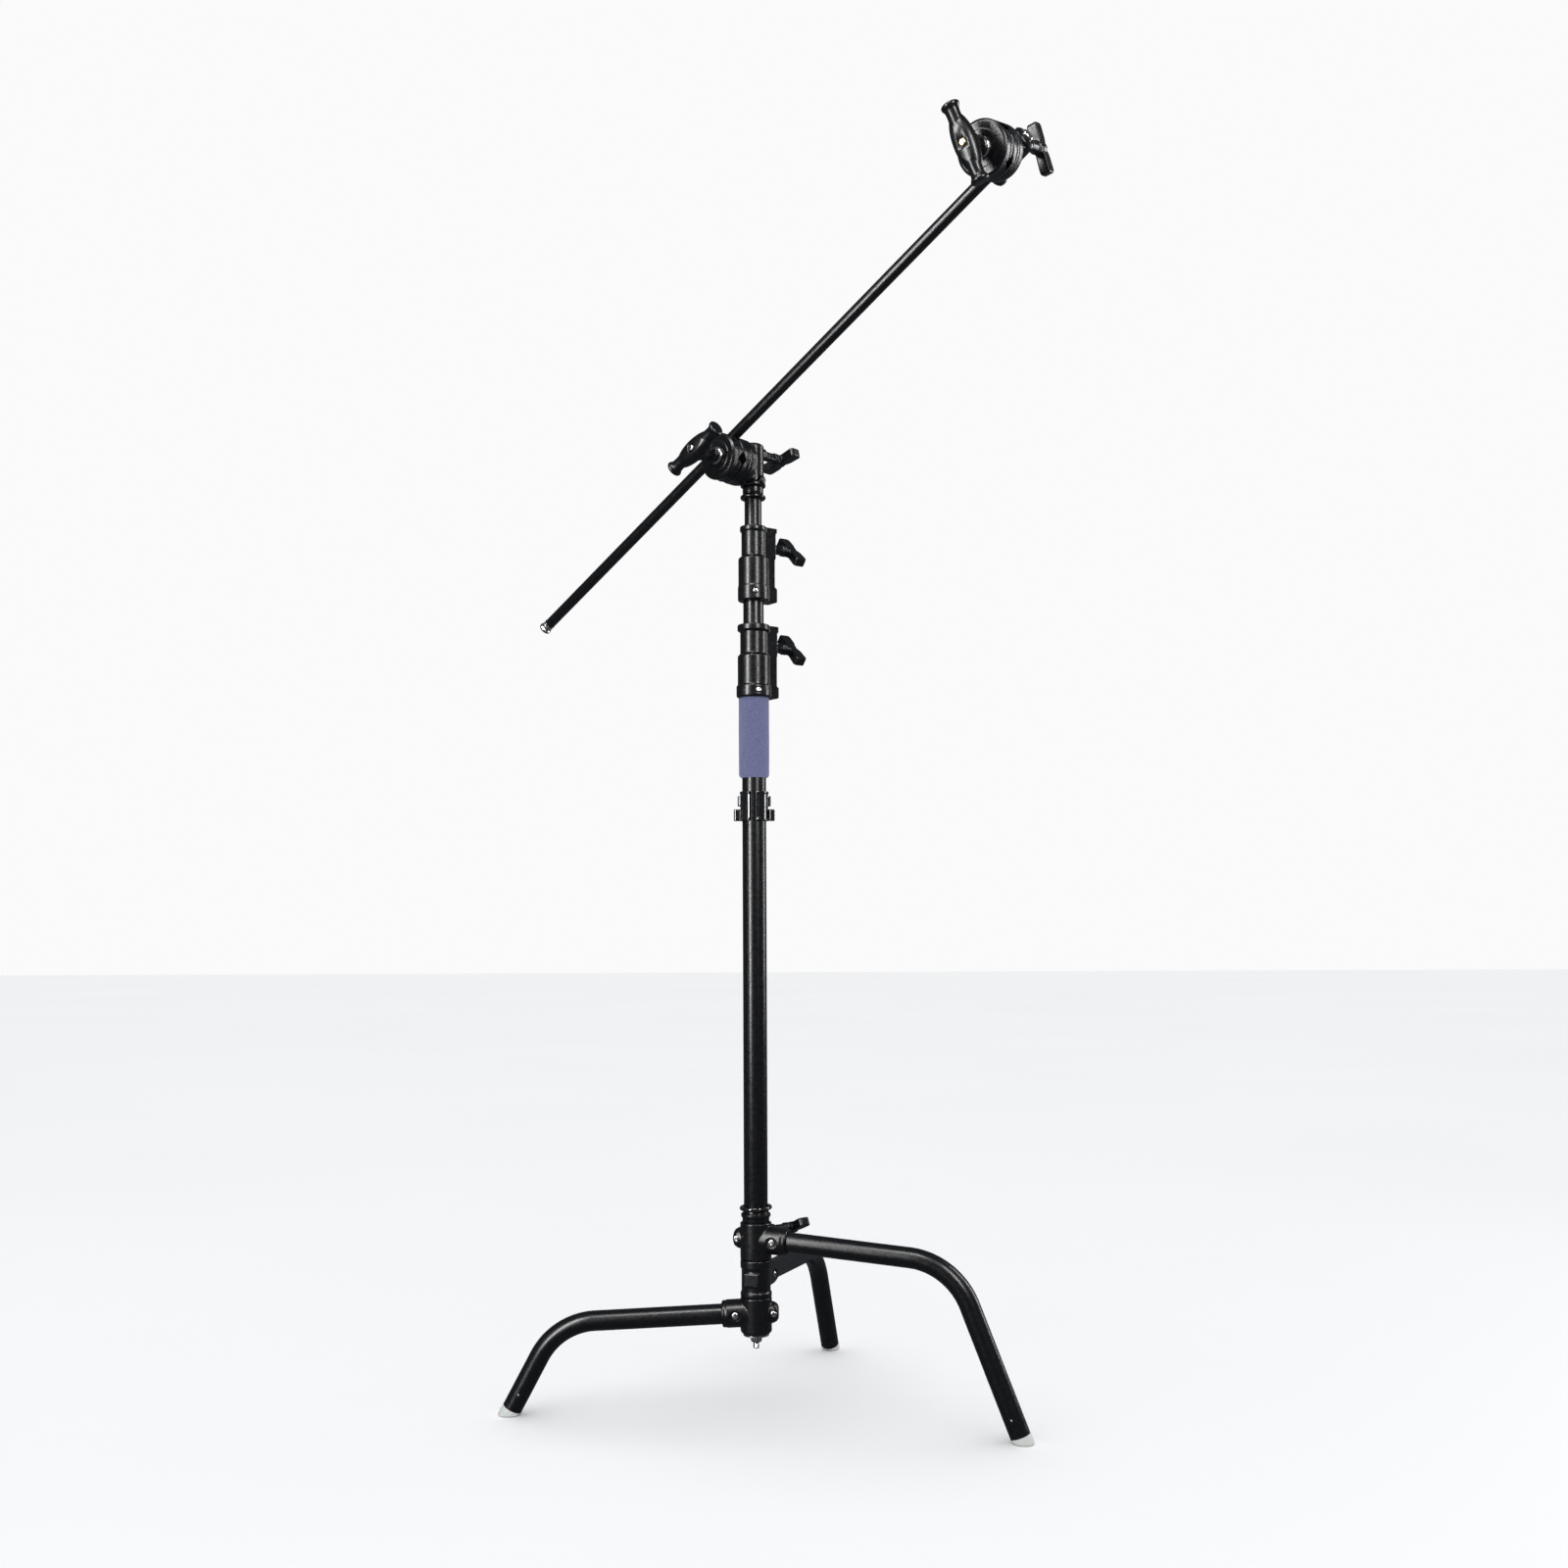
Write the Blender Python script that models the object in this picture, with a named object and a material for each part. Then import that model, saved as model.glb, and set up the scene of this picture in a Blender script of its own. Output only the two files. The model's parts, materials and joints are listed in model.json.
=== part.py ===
"""C stand with a turtle base, two risers, a grip arm and two grip heads.

Metres, +Z up, floor at z = 0. The origin is the middle of the stand's footprint box.
Each sub-part is one closed solid in its own object. Moving pieces hang from empties
that stand on their joint axes.
"""
import bmesh
import bpy
from math import asin, atan2, cos, pi, radians, sin, tan
from mathutils import Matrix, Vector

MM = 0.001

# Where the column's axis stands on the floor, and how finely round things are made.
COLUMN_X, COLUMN_Y = -0.0036, 0.0461
SEGMENTS = 16
SEGMENTS_SMALL = 10
SEGMENTS_LEG = 12

# Column: outer radii of the three tubes, their walls and their ends at rest.
BASE_TUBE_R, BASE_TUBE_WALL = 17.5 * MM, 1.5 * MM
RISER_2_R, RISER_2_WALL = 15.0 * MM, 1.4 * MM
RISER_3_R, RISER_3_WALL = 12.5 * MM, 1.4 * MM
BASE_TUBE_Z = (288.3 * MM, 1112.0 * MM)
RISER_2_Z = (345.0 * MM, 1254.8 * MM)
RISER_3_Z = (385.0 * MM, 1343.8 * MM)
SPIGOT_Z = (1344.2 * MM, 1361.7 * MM)
PIN_R, PIN_HEIGHT = 7.9 * MM, 61.0 * MM
GAP = 0.3 * MM

# Clamping knobs: their direction about the column, and the middle of the cross bar.
KNOB_ANGLE = radians(35)
KNOB_REACH = 68.0 * MM
KNOB_2_Z, KNOB_1_Z, KNOB_BASE_Z = 1130.0 * MM, 1276.0 * MM, 270.0 * MM
KNOB_HALF, KNOB_THICK, KNOB_NECK_R = 32.0 * MM, 13.0 * MM, 8.4 * MM
STUD_R = 4.0 * MM

# Base: hubs stacked on the centre post, and their legs, each as
# (hub foot, hub head, leg height at the axis, leg heading, foot radius, screw side).
HUB_R, HUB_BORE = 23.0 * MM, 16.1 * MM
POST_R, POST_BORE = 15.6 * MM, 12.6 * MM
SOCKET_R, SOCKET_REACH, SOCKET_FLOOR = 20.5 * MM, 50.0 * MM, 24.5 * MM
LUG_R, LUG_REACH, HUB_BOSS = 15.5 * MM, 33.0 * MM, 33.0 * MM
LEG_R, LEG_WALL, LEG_BEND = 14.8 * MM, 1.5 * MM, 100.0 * MM
LEG_CORNER = 294.0 * MM
LEG_SLOPE = radians(3.4)
FOOT_TOP = 9.5 * MM
LEGS = {
    "right": (231.4 * MM, 285.3 * MM, 261.0 * MM, radians(-18.3), 392.0 * MM, -1),
    "back": (176.4 * MM, 231.0 * MM, 205.0 * MM, radians(71.9), 384.0 * MM, -1),
    "left": (121.6 * MM, 176.0 * MM, 153.0 * MM, radians(177.8), 366.0 * MM, 1),
}
HUB_NAMES = {"right": "upper_hub", "back": "middle_hub", "left": "lower_hub"}

# Grip heads and the arm, measured along the head's own axis from its receiver's axis.
HEAD_1_Z = 1392.0 * MM
ARM_HEADING, ARM_RISE = radians(-41.5), radians(28.1)
ARM_R, ARM_LENGTH = 7.94 * MM, 1041.0 * MM
ARM_BELOW = 449.0 * MM
ARM_OFFSET = 20.0 * MM
PLATE_R = 33.0 * MM
DISC_X = (20.0 * MM, 37.0 * MM)
MIDDLE_X = (37.5 * MM, 55.0 * MM)
FRONT_X = (56.5 * MM, 76.5 * MM)
WASHER_X = (77.0 * MM, 83.5 * MM)
BAR_X, BAR_R, BAR_HALF = 122.0 * MM, 10.0 * MM, 49.0 * MM
BOLT_R, BOLT_HOLE = 5.0 * MM, 5.5 * MM
RECEIVER_R, RECEIVER_Z = 16.0 * MM, (-30.0 * MM, 33.0 * MM)
RECEIVER_BORE = 8.25 * MM
HEAD_KNOB_Z, HEAD_KNOB_REACH, HEAD_BOSS = 22.0 * MM, 62.0 * MM, 22.5 * MM
HEAD_2_ROLL = radians(17.4)
HEAD_2_SEAT = 36.5 * MM
BAR_TURN = (radians(26.0), radians(-12.0))
GROOVE_TURN_2 = radians(60.8)

FINISHES = {
    "black_coat": ((0.012, 0.012, 0.015), 0.42, 0.0),
    "black_cast": ((0.014, 0.014, 0.017), 0.50, 0.0),
    "black_plastic": ((0.010, 0.010, 0.010), 0.25, 0.0),
    "bright_steel": ((0.62, 0.60, 0.58), 0.22, 1.0),
    "steel": ((0.40, 0.40, 0.42), 0.38, 1.0),
    "blue_foam": ((0.139, 0.153, 0.314), 0.95, 0.0),
    "pale_foot": ((0.72, 0.75, 0.73), 0.45, 0.0),
    "grey_bush": ((0.30, 0.30, 0.32), 0.60, 0.0),
}


def clear_scene():
    for old in list(bpy.data.objects):
        bpy.data.objects.remove(old, do_unlink=True)


def finish(name):
    """The material of this name, made the first time it is asked for."""
    made = bpy.data.materials.get(name)
    if made:
        return made
    colour, roughness, metallic = FINISHES[name]
    made = bpy.data.materials.new(name)
    made.use_nodes = True
    shader = made.node_tree.nodes["Principled BSDF"]
    shader.inputs["Base Color"].default_value = (*colour, 1)
    shader.inputs["Roughness"].default_value = roughness
    shader.inputs["Metallic"].default_value = metallic
    return made


def empty(name, matrix, parent=None):
    """An empty at a place given in the parent's own axes."""
    made = bpy.data.objects.new(name, None)
    bpy.context.collection.objects.link(made)
    made.parent = parent
    made.matrix_local = matrix
    return made


def solid(name, points, faces, coat, parent, matrix=None):
    """One object from points and faces, its faces turned outwards and shaded smooth."""
    mesh = bpy.data.meshes.new(name)
    mesh.from_pydata([Vector(p) for p in points], [], faces)
    shape = bmesh.new()
    shape.from_mesh(mesh)
    bmesh.ops.recalc_face_normals(shape, faces=shape.faces)
    shape.to_mesh(mesh)
    shape.free()
    mesh.shade_smooth()
    mesh.set_sharp_from_angle(angle=radians(30))
    mesh.materials.append(finish(coat))
    made = bpy.data.objects.new(name, mesh)
    bpy.context.collection.objects.link(made)
    made.parent = parent
    made.matrix_local = matrix or Matrix()
    return made


def loft(name, rings, coat, parent, matrix=None, tube=False):
    """Rings of equal count joined in turn: ends capped, or last to first for a tube."""
    count = len(rings[0])
    points = [p for ring in rings for p in ring]
    steps = len(rings) if tube else len(rings) - 1
    faces = []
    for i in range(steps):
        here, there = i * count, (i + 1) % len(rings) * count
        for k in range(count):
            after = (k + 1) % count
            faces.append((here + k, here + after, there + after, there + k))
    if not tube:
        faces.append(tuple(range(count)))
        faces.append(tuple(range((len(rings) - 1) * count, len(rings) * count)))
    return solid(name, points, faces, coat, parent, matrix)


def circle(radius, height, count):
    return [(radius * cos(2 * pi * k / count), radius * sin(2 * pi * k / count), height)
            for k in range(count)]


def lathe(name, profile, coat, parent, matrix=None, tube=False, count=SEGMENTS):
    """A turned piece about its own Z from (radius, height) points."""
    return loft(name, [circle(r, z, count) for r, z in profile], coat, parent, matrix, tube)


def pipe(name, outer, inner, ends, coat, parent, matrix=None, count=SEGMENTS):
    low, high = ends
    profile = [(outer, high), (outer, low), (inner, low), (inner, high)]
    return lathe(name, profile, coat, parent, matrix, tube=True, count=count)


def box(name, low, high, coat, parent, matrix=None):
    ring = [(low[0], low[1]), (high[0], low[1]), (high[0], high[1]), (low[0], high[1])]
    rings = [[(x, y, z) for x, y in ring] for z in (low[2], high[2])]
    return loft(name, rings, coat, parent, matrix)


def prism(name, outline, half, coat, parent, matrix=None):
    """An outline in X and Y, extruded from -half to half along Z."""
    rings = [[(x, y, z) for x, y in outline] for z in (-half, half)]
    return loft(name, rings, coat, parent, matrix)


def combine(target, others, operation):
    """Join the other solids to the target, or cut them out of it, for good."""
    for other in others:
        bpy.context.view_layer.update()
        change = target.modifiers.new("combine", "BOOLEAN")
        change.operation = operation
        change.solver = "EXACT"
        change.object = other
        seen = target.evaluated_get(bpy.context.evaluated_depsgraph_get())
        mesh = bpy.data.meshes.new_from_object(seen)
        target.modifiers.clear()
        target.data = mesh
        bpy.data.objects.remove(other, do_unlink=True)
    target.data.name = target.name
    target.data.shade_smooth()
    target.data.set_sharp_from_angle(angle=radians(30))
    return target


def along(direction, place=(0, 0, 0), side=(0, 0, 1)):
    """Axes at a place whose Z runs along a direction and whose X is nearest to side."""
    z = Vector(direction).normalized()
    x = Vector(side) - z * z.dot(Vector(side))
    if x.length < 1e-6:
        x = Vector((1, 0, 0)) - z * z.x
    x.normalize()
    turn = Matrix((x, z.cross(x), z)).transposed().to_4x4()
    return Matrix.Translation(Vector(place)) @ turn


def heading(angle):
    return Vector((cos(angle), sin(angle), 0))


def turned(angle, place=(0, 0, 0)):
    return Matrix.Translation(Vector(place)) @ Matrix.Rotation(angle, 4, "Z")


# ---------------------------------------------------------------- knobs and screws

def knob(name, parent, seat, tip, neck):
    """A cast two-winged knob on a steel stud. Local X runs outwards; seat is the wings'
    place and turn, tip and neck how far the stud and the collar reach back from it."""
    axle = empty(name + "_axle", seat, parent)
    half = KNOB_HALF / MM
    side = [(-7.5, 12), (-9, half - 3), (-6, half), (7, half), (9.5, half - 3), (9, 12), (6.5, 5)]
    outline = [(x, -y) for x, y in side] + [(x, y) for x, y in reversed(side)]
    body = prism(name, [(x * MM, y * MM) for x, y in outline], KNOB_THICK / 2, "black_cast", axle)
    out = along((1, 0, 0))
    collar = lathe("collar", [(KNOB_NECK_R - 1.5 * MM, -neck), (KNOB_NECK_R, 1.4 * MM - neck),
                              (KNOB_NECK_R, -6 * MM), (KNOB_NECK_R, 4 * MM), (5 * MM, 7.2 * MM)],
                   "black_cast", axle, out, count=SEGMENTS_SMALL)
    combine(body, [collar], "UNION")
    bore = lathe("bore", [(STUD_R + GAP, -neck - 4 * MM), (STUD_R + GAP, -1 * MM)],
                 "black_cast", axle, out, count=SEGMENTS_SMALL)
    combine(body, [bore], "DIFFERENCE")
    lathe(name + "_stud", [(STUD_R - MM, -tip), (STUD_R, -tip + MM), (STUD_R, -1.6 * MM)],
          "steel", axle, out, count=SEGMENTS_SMALL)


def knob_seat(height, reach, angle, roll):
    """The bar's place at a reach from the parent's Z axis, rolled about its own axis."""
    spot = turned(angle, (0, 0, height)) @ Matrix.Translation((reach, 0, 0))
    return spot @ Matrix.Rotation(roll, 4, "X")


def screw(name, parent, axis, inner, face, head_r, head_h=2.4 * MM):
    """A pan-head screw along its frame's Z, from its inner end to its head at face."""
    shank = head_r * 0.55
    lathe(name, [(shank, inner), (shank, face), (head_r, face), (head_r, face + head_h * 0.6),
                 (head_r * 0.7, face + head_h)],
          "bright_steel", parent, axis, count=SEGMENTS_SMALL)


# ---------------------------------------------------------------- base

def leg_path(foot_radius, height):
    """The leg's centre line in its own upright plane, as (reach, height) points."""
    start = SOCKET_FLOOR + GAP
    corner = (LEG_CORNER, height - LEG_CORNER * tan(LEG_SLOPE))
    drop = atan2(corner[1], foot_radius - corner[0])
    bend = drop - LEG_SLOPE
    reach = LEG_BEND * tan(bend / 2)
    first = (corner[0] - reach * cos(LEG_SLOPE), corner[1] + reach * sin(LEG_SLOPE))
    centre = (first[0] - LEG_BEND * sin(LEG_SLOPE), first[1] - LEG_BEND * cos(LEG_SLOPE))
    path = [(start, height - start * tan(LEG_SLOPE), LEG_SLOPE)]
    steps = 6
    for i in range(steps + 1):
        lean = LEG_SLOPE + bend * i / steps
        path.append((centre[0] + LEG_BEND * sin(lean), centre[1] + LEG_BEND * cos(lean), lean))
    end = foot_radius - FOOT_TOP / tan(drop)
    path.append((end, FOOT_TOP, drop))
    return path


def across(point, radius, count=SEGMENTS_LEG):
    """A ring square to the leg at a point of its centre line."""
    reach, height, lean = point
    ring = []
    for k in range(count):
        turn = 2 * pi * k / count
        up = radius * cos(turn)
        ring.append((reach + up * sin(lean), radius * sin(turn), height + up * cos(lean)))
    return ring


def leg(side, frame):
    """A bent leg tube and its foot pad, in the frame whose X is the leg's heading."""
    height, foot_radius = LEGS[side][2], LEGS[side][4]
    path = leg_path(foot_radius, height)
    inner = LEG_R - LEG_WALL
    rings = [across(p, LEG_R) for p in path] + [across(p, inner) for p in reversed(path)]
    loft("leg_tube_" + side, rings, "black_coat", frame, tube=True)
    reach, top, lean = path[-1]
    down = (cos(lean), -sin(lean))

    def at(distance):
        return (reach + distance * down[0], top + distance * down[1], lean)

    plug = inner - GAP
    pad = LEG_R + 0.5 * MM
    slant = pad / sin(lean)
    rings = [across(at(-14 * MM), plug), across(at(GAP), plug), across(at(GAP), pad)]
    low = at(top / sin(lean))[0]
    for height_now, grow in ((2.0 * MM, 1.0), (0.0, 0.86)):
        middle = low - height_now / tan(lean)
        rings.append([(middle + slant * grow * cos(2 * pi * k / SEGMENTS_LEG),
                       pad * grow * sin(2 * pi * k / SEGMENTS_LEG), height_now)
                      for k in range(SEGMENTS_LEG)])
    loft("foot_pad_" + side, rings, "pale_foot", frame)


def hub(side, stand):
    """A leg hub with its socket, the lug behind it and their screws."""
    low, high, height, angle, _, screw_side = LEGS[side]
    name = HUB_NAMES[side]
    frame = empty(name + "_frame", turned(angle), stand)
    chamfer = 4 * MM if side == "left" else 0.8 * MM
    profile = [(HUB_R - chamfer, low), (HUB_R, low + chamfer)]
    if side == "back":
        relief = HUB_R - 1.6 * MM
        profile += [(HUB_R, low + 7 * MM), (relief, low + 8 * MM), (relief, high - 13 * MM),
                    (HUB_R, high - 12 * MM)]
    profile += [(HUB_R, high - 0.8 * MM), (HUB_R - 0.8 * MM, high)]
    body = lathe(name, profile, "black_cast", frame)
    tilt = along((cos(LEG_SLOPE), 0, -sin(LEG_SLOPE)), (0, 0, height))
    level = along((-1, 0, 0), (0, 0, height))
    socket = lathe("socket", [(SOCKET_R, -2 * MM), (SOCKET_R, SOCKET_REACH - 2 * MM),
                              (SOCKET_R - 1.5 * MM, SOCKET_REACH)], "black_cast", frame, tilt)
    parts = [socket]
    if side == "back":
        parts.append(box("pad", (-HUB_R, -11 * MM, low + 17 * MM), (0, 11 * MM, high - 18 * MM), "black_cast",
                         frame))
    else:
        parts.append(lathe("lug", [(LUG_R, -2 * MM), (LUG_R, LUG_REACH - 7 * MM),
                                   (LUG_R - 3 * MM, LUG_REACH - 2 * MM), (LUG_R - 7 * MM, LUG_REACH)],
                           "black_cast", frame, level))
    if side == "right":
        boss = lathe("boss", [(9 * MM, 5 * MM), (9 * MM, HUB_BOSS - 2 * MM), (7.5 * MM, HUB_BOSS)], "black_cast",
                     stand, along(heading(KNOB_ANGLE), (0, 0, KNOB_BASE_Z)), count=SEGMENTS_SMALL)
        parts.append(boss)
    combine(body, parts, "UNION")
    cuts = [lathe("bore", [(HUB_BORE, low - MM), (HUB_BORE, high + MM)], "black_cast", frame),
            lathe("leg_bore", [(LEG_R + GAP, SOCKET_FLOOR), (LEG_R + GAP, SOCKET_REACH + MM)],
                  "black_cast", frame, tilt, count=SEGMENTS_LEG)]
    facing = Vector((0, screw_side, 0))
    spots = {"leg_screw_": (30 * MM, 18.0 * MM, 3.2 * MM, 8.6 * MM, 5.2 * MM, 15.6 * MM),
             "lug_screw_": (-26 * MM, 12.5 * MM, 3.2 * MM, 5.6 * MM, 4.8 * MM, 5.0 * MM)}
    if side == "back":
        del spots["lug_screw_"]
    for label, (reach, floor, hole, recess, head, inner) in spots.items():
        spot = along(facing, (reach, 0, height - reach * tan(LEG_SLOPE) * (reach > 0)))
        cuts.append(lathe("hole", [(hole, inner - 1.5 * MM), (hole, floor + MM)], "black_cast", frame, spot,
                          count=SEGMENTS_SMALL))
        cuts.append(lathe("recess", [(recess, floor), (recess, SOCKET_R + MM)], "black_cast", frame, spot,
                          count=SEGMENTS_SMALL))
        screw(label + side, frame, spot, inner, floor + GAP, head)
    if side == "right":
        cuts.append(lathe("stud_hole", [(STUD_R + GAP, 4 * MM), (STUD_R + GAP, 36 * MM)], "black_cast",
                          stand, along(heading(KNOB_ANGLE), (0, 0, KNOB_BASE_Z)), count=SEGMENTS_SMALL))
    combine(body, cuts, "DIFFERENCE")
    leg(side, frame)


def base(stand):
    """Centre post with its receiver collar, bolt, washer, nut, hubs, legs and knob."""
    post = lathe("centre_post", [
        (18.9 * MM, 302 * MM), (18.9 * MM, 299.5 * MM), (21.6 * MM, 298 * MM), (21.6 * MM, 294 * MM),
        (19.8 * MM, 292 * MM), (19.8 * MM, 285.7 * MM), (POST_R, 285.7 * MM), (POST_R, 123 * MM),
        (5.2 * MM, 123 * MM), (5.2 * MM, 139 * MM), (POST_BORE, 139 * MM), (POST_BORE, 287 * MM),
        (17.9 * MM, 287 * MM), (17.9 * MM, 302 * MM)], "steel", stand, tube=True)
    post.data.materials[0] = finish("black_coat")
    hole = lathe("stud_hole", [(STUD_R + GAP, 9 * MM), (STUD_R + GAP, 20 * MM)], "steel", stand,
                 along(heading(KNOB_ANGLE), (0, 0, KNOB_BASE_Z)), count=SEGMENTS_SMALL)
    combine(post, [hole], "DIFFERENCE")
    lathe("base_bolt", [(3.6 * MM, 100 * MM), (4.6 * MM, 101 * MM), (4.6 * MM, 139.3 * MM),
                        (10 * MM, 139.3 * MM), (10 * MM, 146 * MM)], "bright_steel", stand,
          count=SEGMENTS_SMALL)
    pipe("base_washer", 19.0 * MM, 5.2 * MM, (119.4 * MM, 121.2 * MM), "steel", stand)
    lathe("base_nut", [(9.6 * MM, 119.1 * MM), (9.6 * MM, 115 * MM), (8.6 * MM, 111.5 * MM),
                       (6.2 * MM, 109.4 * MM), (5.0 * MM, 109.4 * MM), (5.0 * MM, 119.1 * MM)],
          "bright_steel", stand, tube=True, count=SEGMENTS_SMALL)
    for side in LEGS:
        hub(side, stand)
    knob("knob_base", stand, knob_seat(KNOB_BASE_Z, KNOB_REACH, KNOB_ANGLE, radians(-24)), 55.2 * MM,
         KNOB_REACH - HUB_BOSS - MM)


# ---------------------------------------------------------------- column

def clamp_ring(radius, reach, half, height):
    """A circle with a square-ended lobe towards the knob, and the angles of its points."""
    corner, root = atan2(half, reach), asin(half / radius)
    around = [root + (2 * pi - 2 * root) * k / 20 for k in range(21)]
    angles = [0, corner, (corner + root) / 2] + around + [-(corner + root) / 2, -corner]
    ring = []
    for turn in angles:
        lobe = min(reach / cos(turn), half / max(abs(sin(turn)), 1e-9)) if cos(turn) > 0.1 else 0
        size = lobe if abs(turn) < root - 1e-6 else radius
        ring.append((size * cos(turn), size * sin(turn), height))
    return ring, angles


def casting(name, stand, levels, bores, knob_z, knob_roll, screw_at):
    """A clamp casting from outer (height, radius, reach) levels and (height, bore) levels."""
    frame = empty(name + "_frame", turned(KNOB_ANGLE), stand)
    half = 11.5 * MM
    angles = clamp_ring(levels[0][1], levels[0][2], half, 0)[1]
    rings = [clamp_ring(r, reach, half, z)[0] for z, r, reach in levels]
    rings += [[(r * cos(a), r * sin(a), z) for a in angles] for z, r in bores]
    body = loft(name, rings, "black_cast", frame, tube=True)
    tube_r = bores[-1][1] - 0.35 * MM
    pocket = box("pocket", (9 * MM, -6.6 * MM, knob_z - 9 * MM), (26 * MM, 6.6 * MM, knob_z + 9 * MM),
                 "black_cast", frame)
    out = along((1, 0, 0), (0, 0, knob_z))
    hole = lathe("stud_hole", [(STUD_R + GAP, 24 * MM), (STUD_R + GAP, 40 * MM)], "black_cast", frame, out,
                 count=SEGMENTS_SMALL)
    turn, height, wall, inner = screw_at
    spot = along(heading(turn - KNOB_ANGLE), (0, 0, height))
    tap = lathe("tap", [(2.5 * MM, inner - MM), (2.5 * MM, wall)], "black_cast", frame, spot,
                count=SEGMENTS_SMALL)
    recess = lathe("recess", [(4.4 * MM, wall - 1.4 * MM), (4.4 * MM, wall + 3 * MM)], "black_cast", frame,
                   spot, count=SEGMENTS_SMALL)
    combine(body, [pocket, hole, tap, recess], "DIFFERENCE")
    shoe_face = tube_r + 0.4 * MM
    box(name + "_shoe", (shoe_face, -6.2 * MM, knob_z - 8.6 * MM), (25.6 * MM, 6.2 * MM, knob_z + 8.6 * MM),
        "steel", frame)
    screw(name + "_screw", frame, spot, inner, wall - 1.1 * MM, 3.8 * MM)
    knob("knob_" + name, stand, knob_seat(knob_z, KNOB_REACH, KNOB_ANGLE, knob_roll), KNOB_REACH - 26.2 * MM,
         KNOB_REACH - levels[4][2] - 2.2 * MM)


def clip_ring(stand):
    """A snap ring of plastic round the base tube with an open hook on each side."""
    low, high = 873 * MM, 916 * MM
    coat = "black_plastic"

    def band(name, centre, radii, turns, ends, count=8):
        rings = []
        for i in range(count + 1):
            turn = turns[0] + (turns[1] - turns[0]) * i / count
            rings.append([(centre + r * cos(turn), r * sin(turn), z)
                          for r, z in ((radii[0], ends[0]), (radii[1], ends[0]),
                                       (radii[1], ends[1]), (radii[0], ends[1]))])
        return loft(name, rings, coat, stand)

    ring = band("clip_ring", 0, (17.9 * MM, 20.4 * MM), (radians(-82), radians(252)), (low, high), 22)
    left = band("left", -25.6 * MM, (3.4 * MM, 6.0 * MM), (radians(-140), radians(140)), (low, low + 17 * MM))
    right = band("right", 25.6 * MM, (3.4 * MM, 6.0 * MM), (radians(40), radians(320)),
                 (low, low + 17 * MM))
    combine(ring, [left, right], "UNION")


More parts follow.
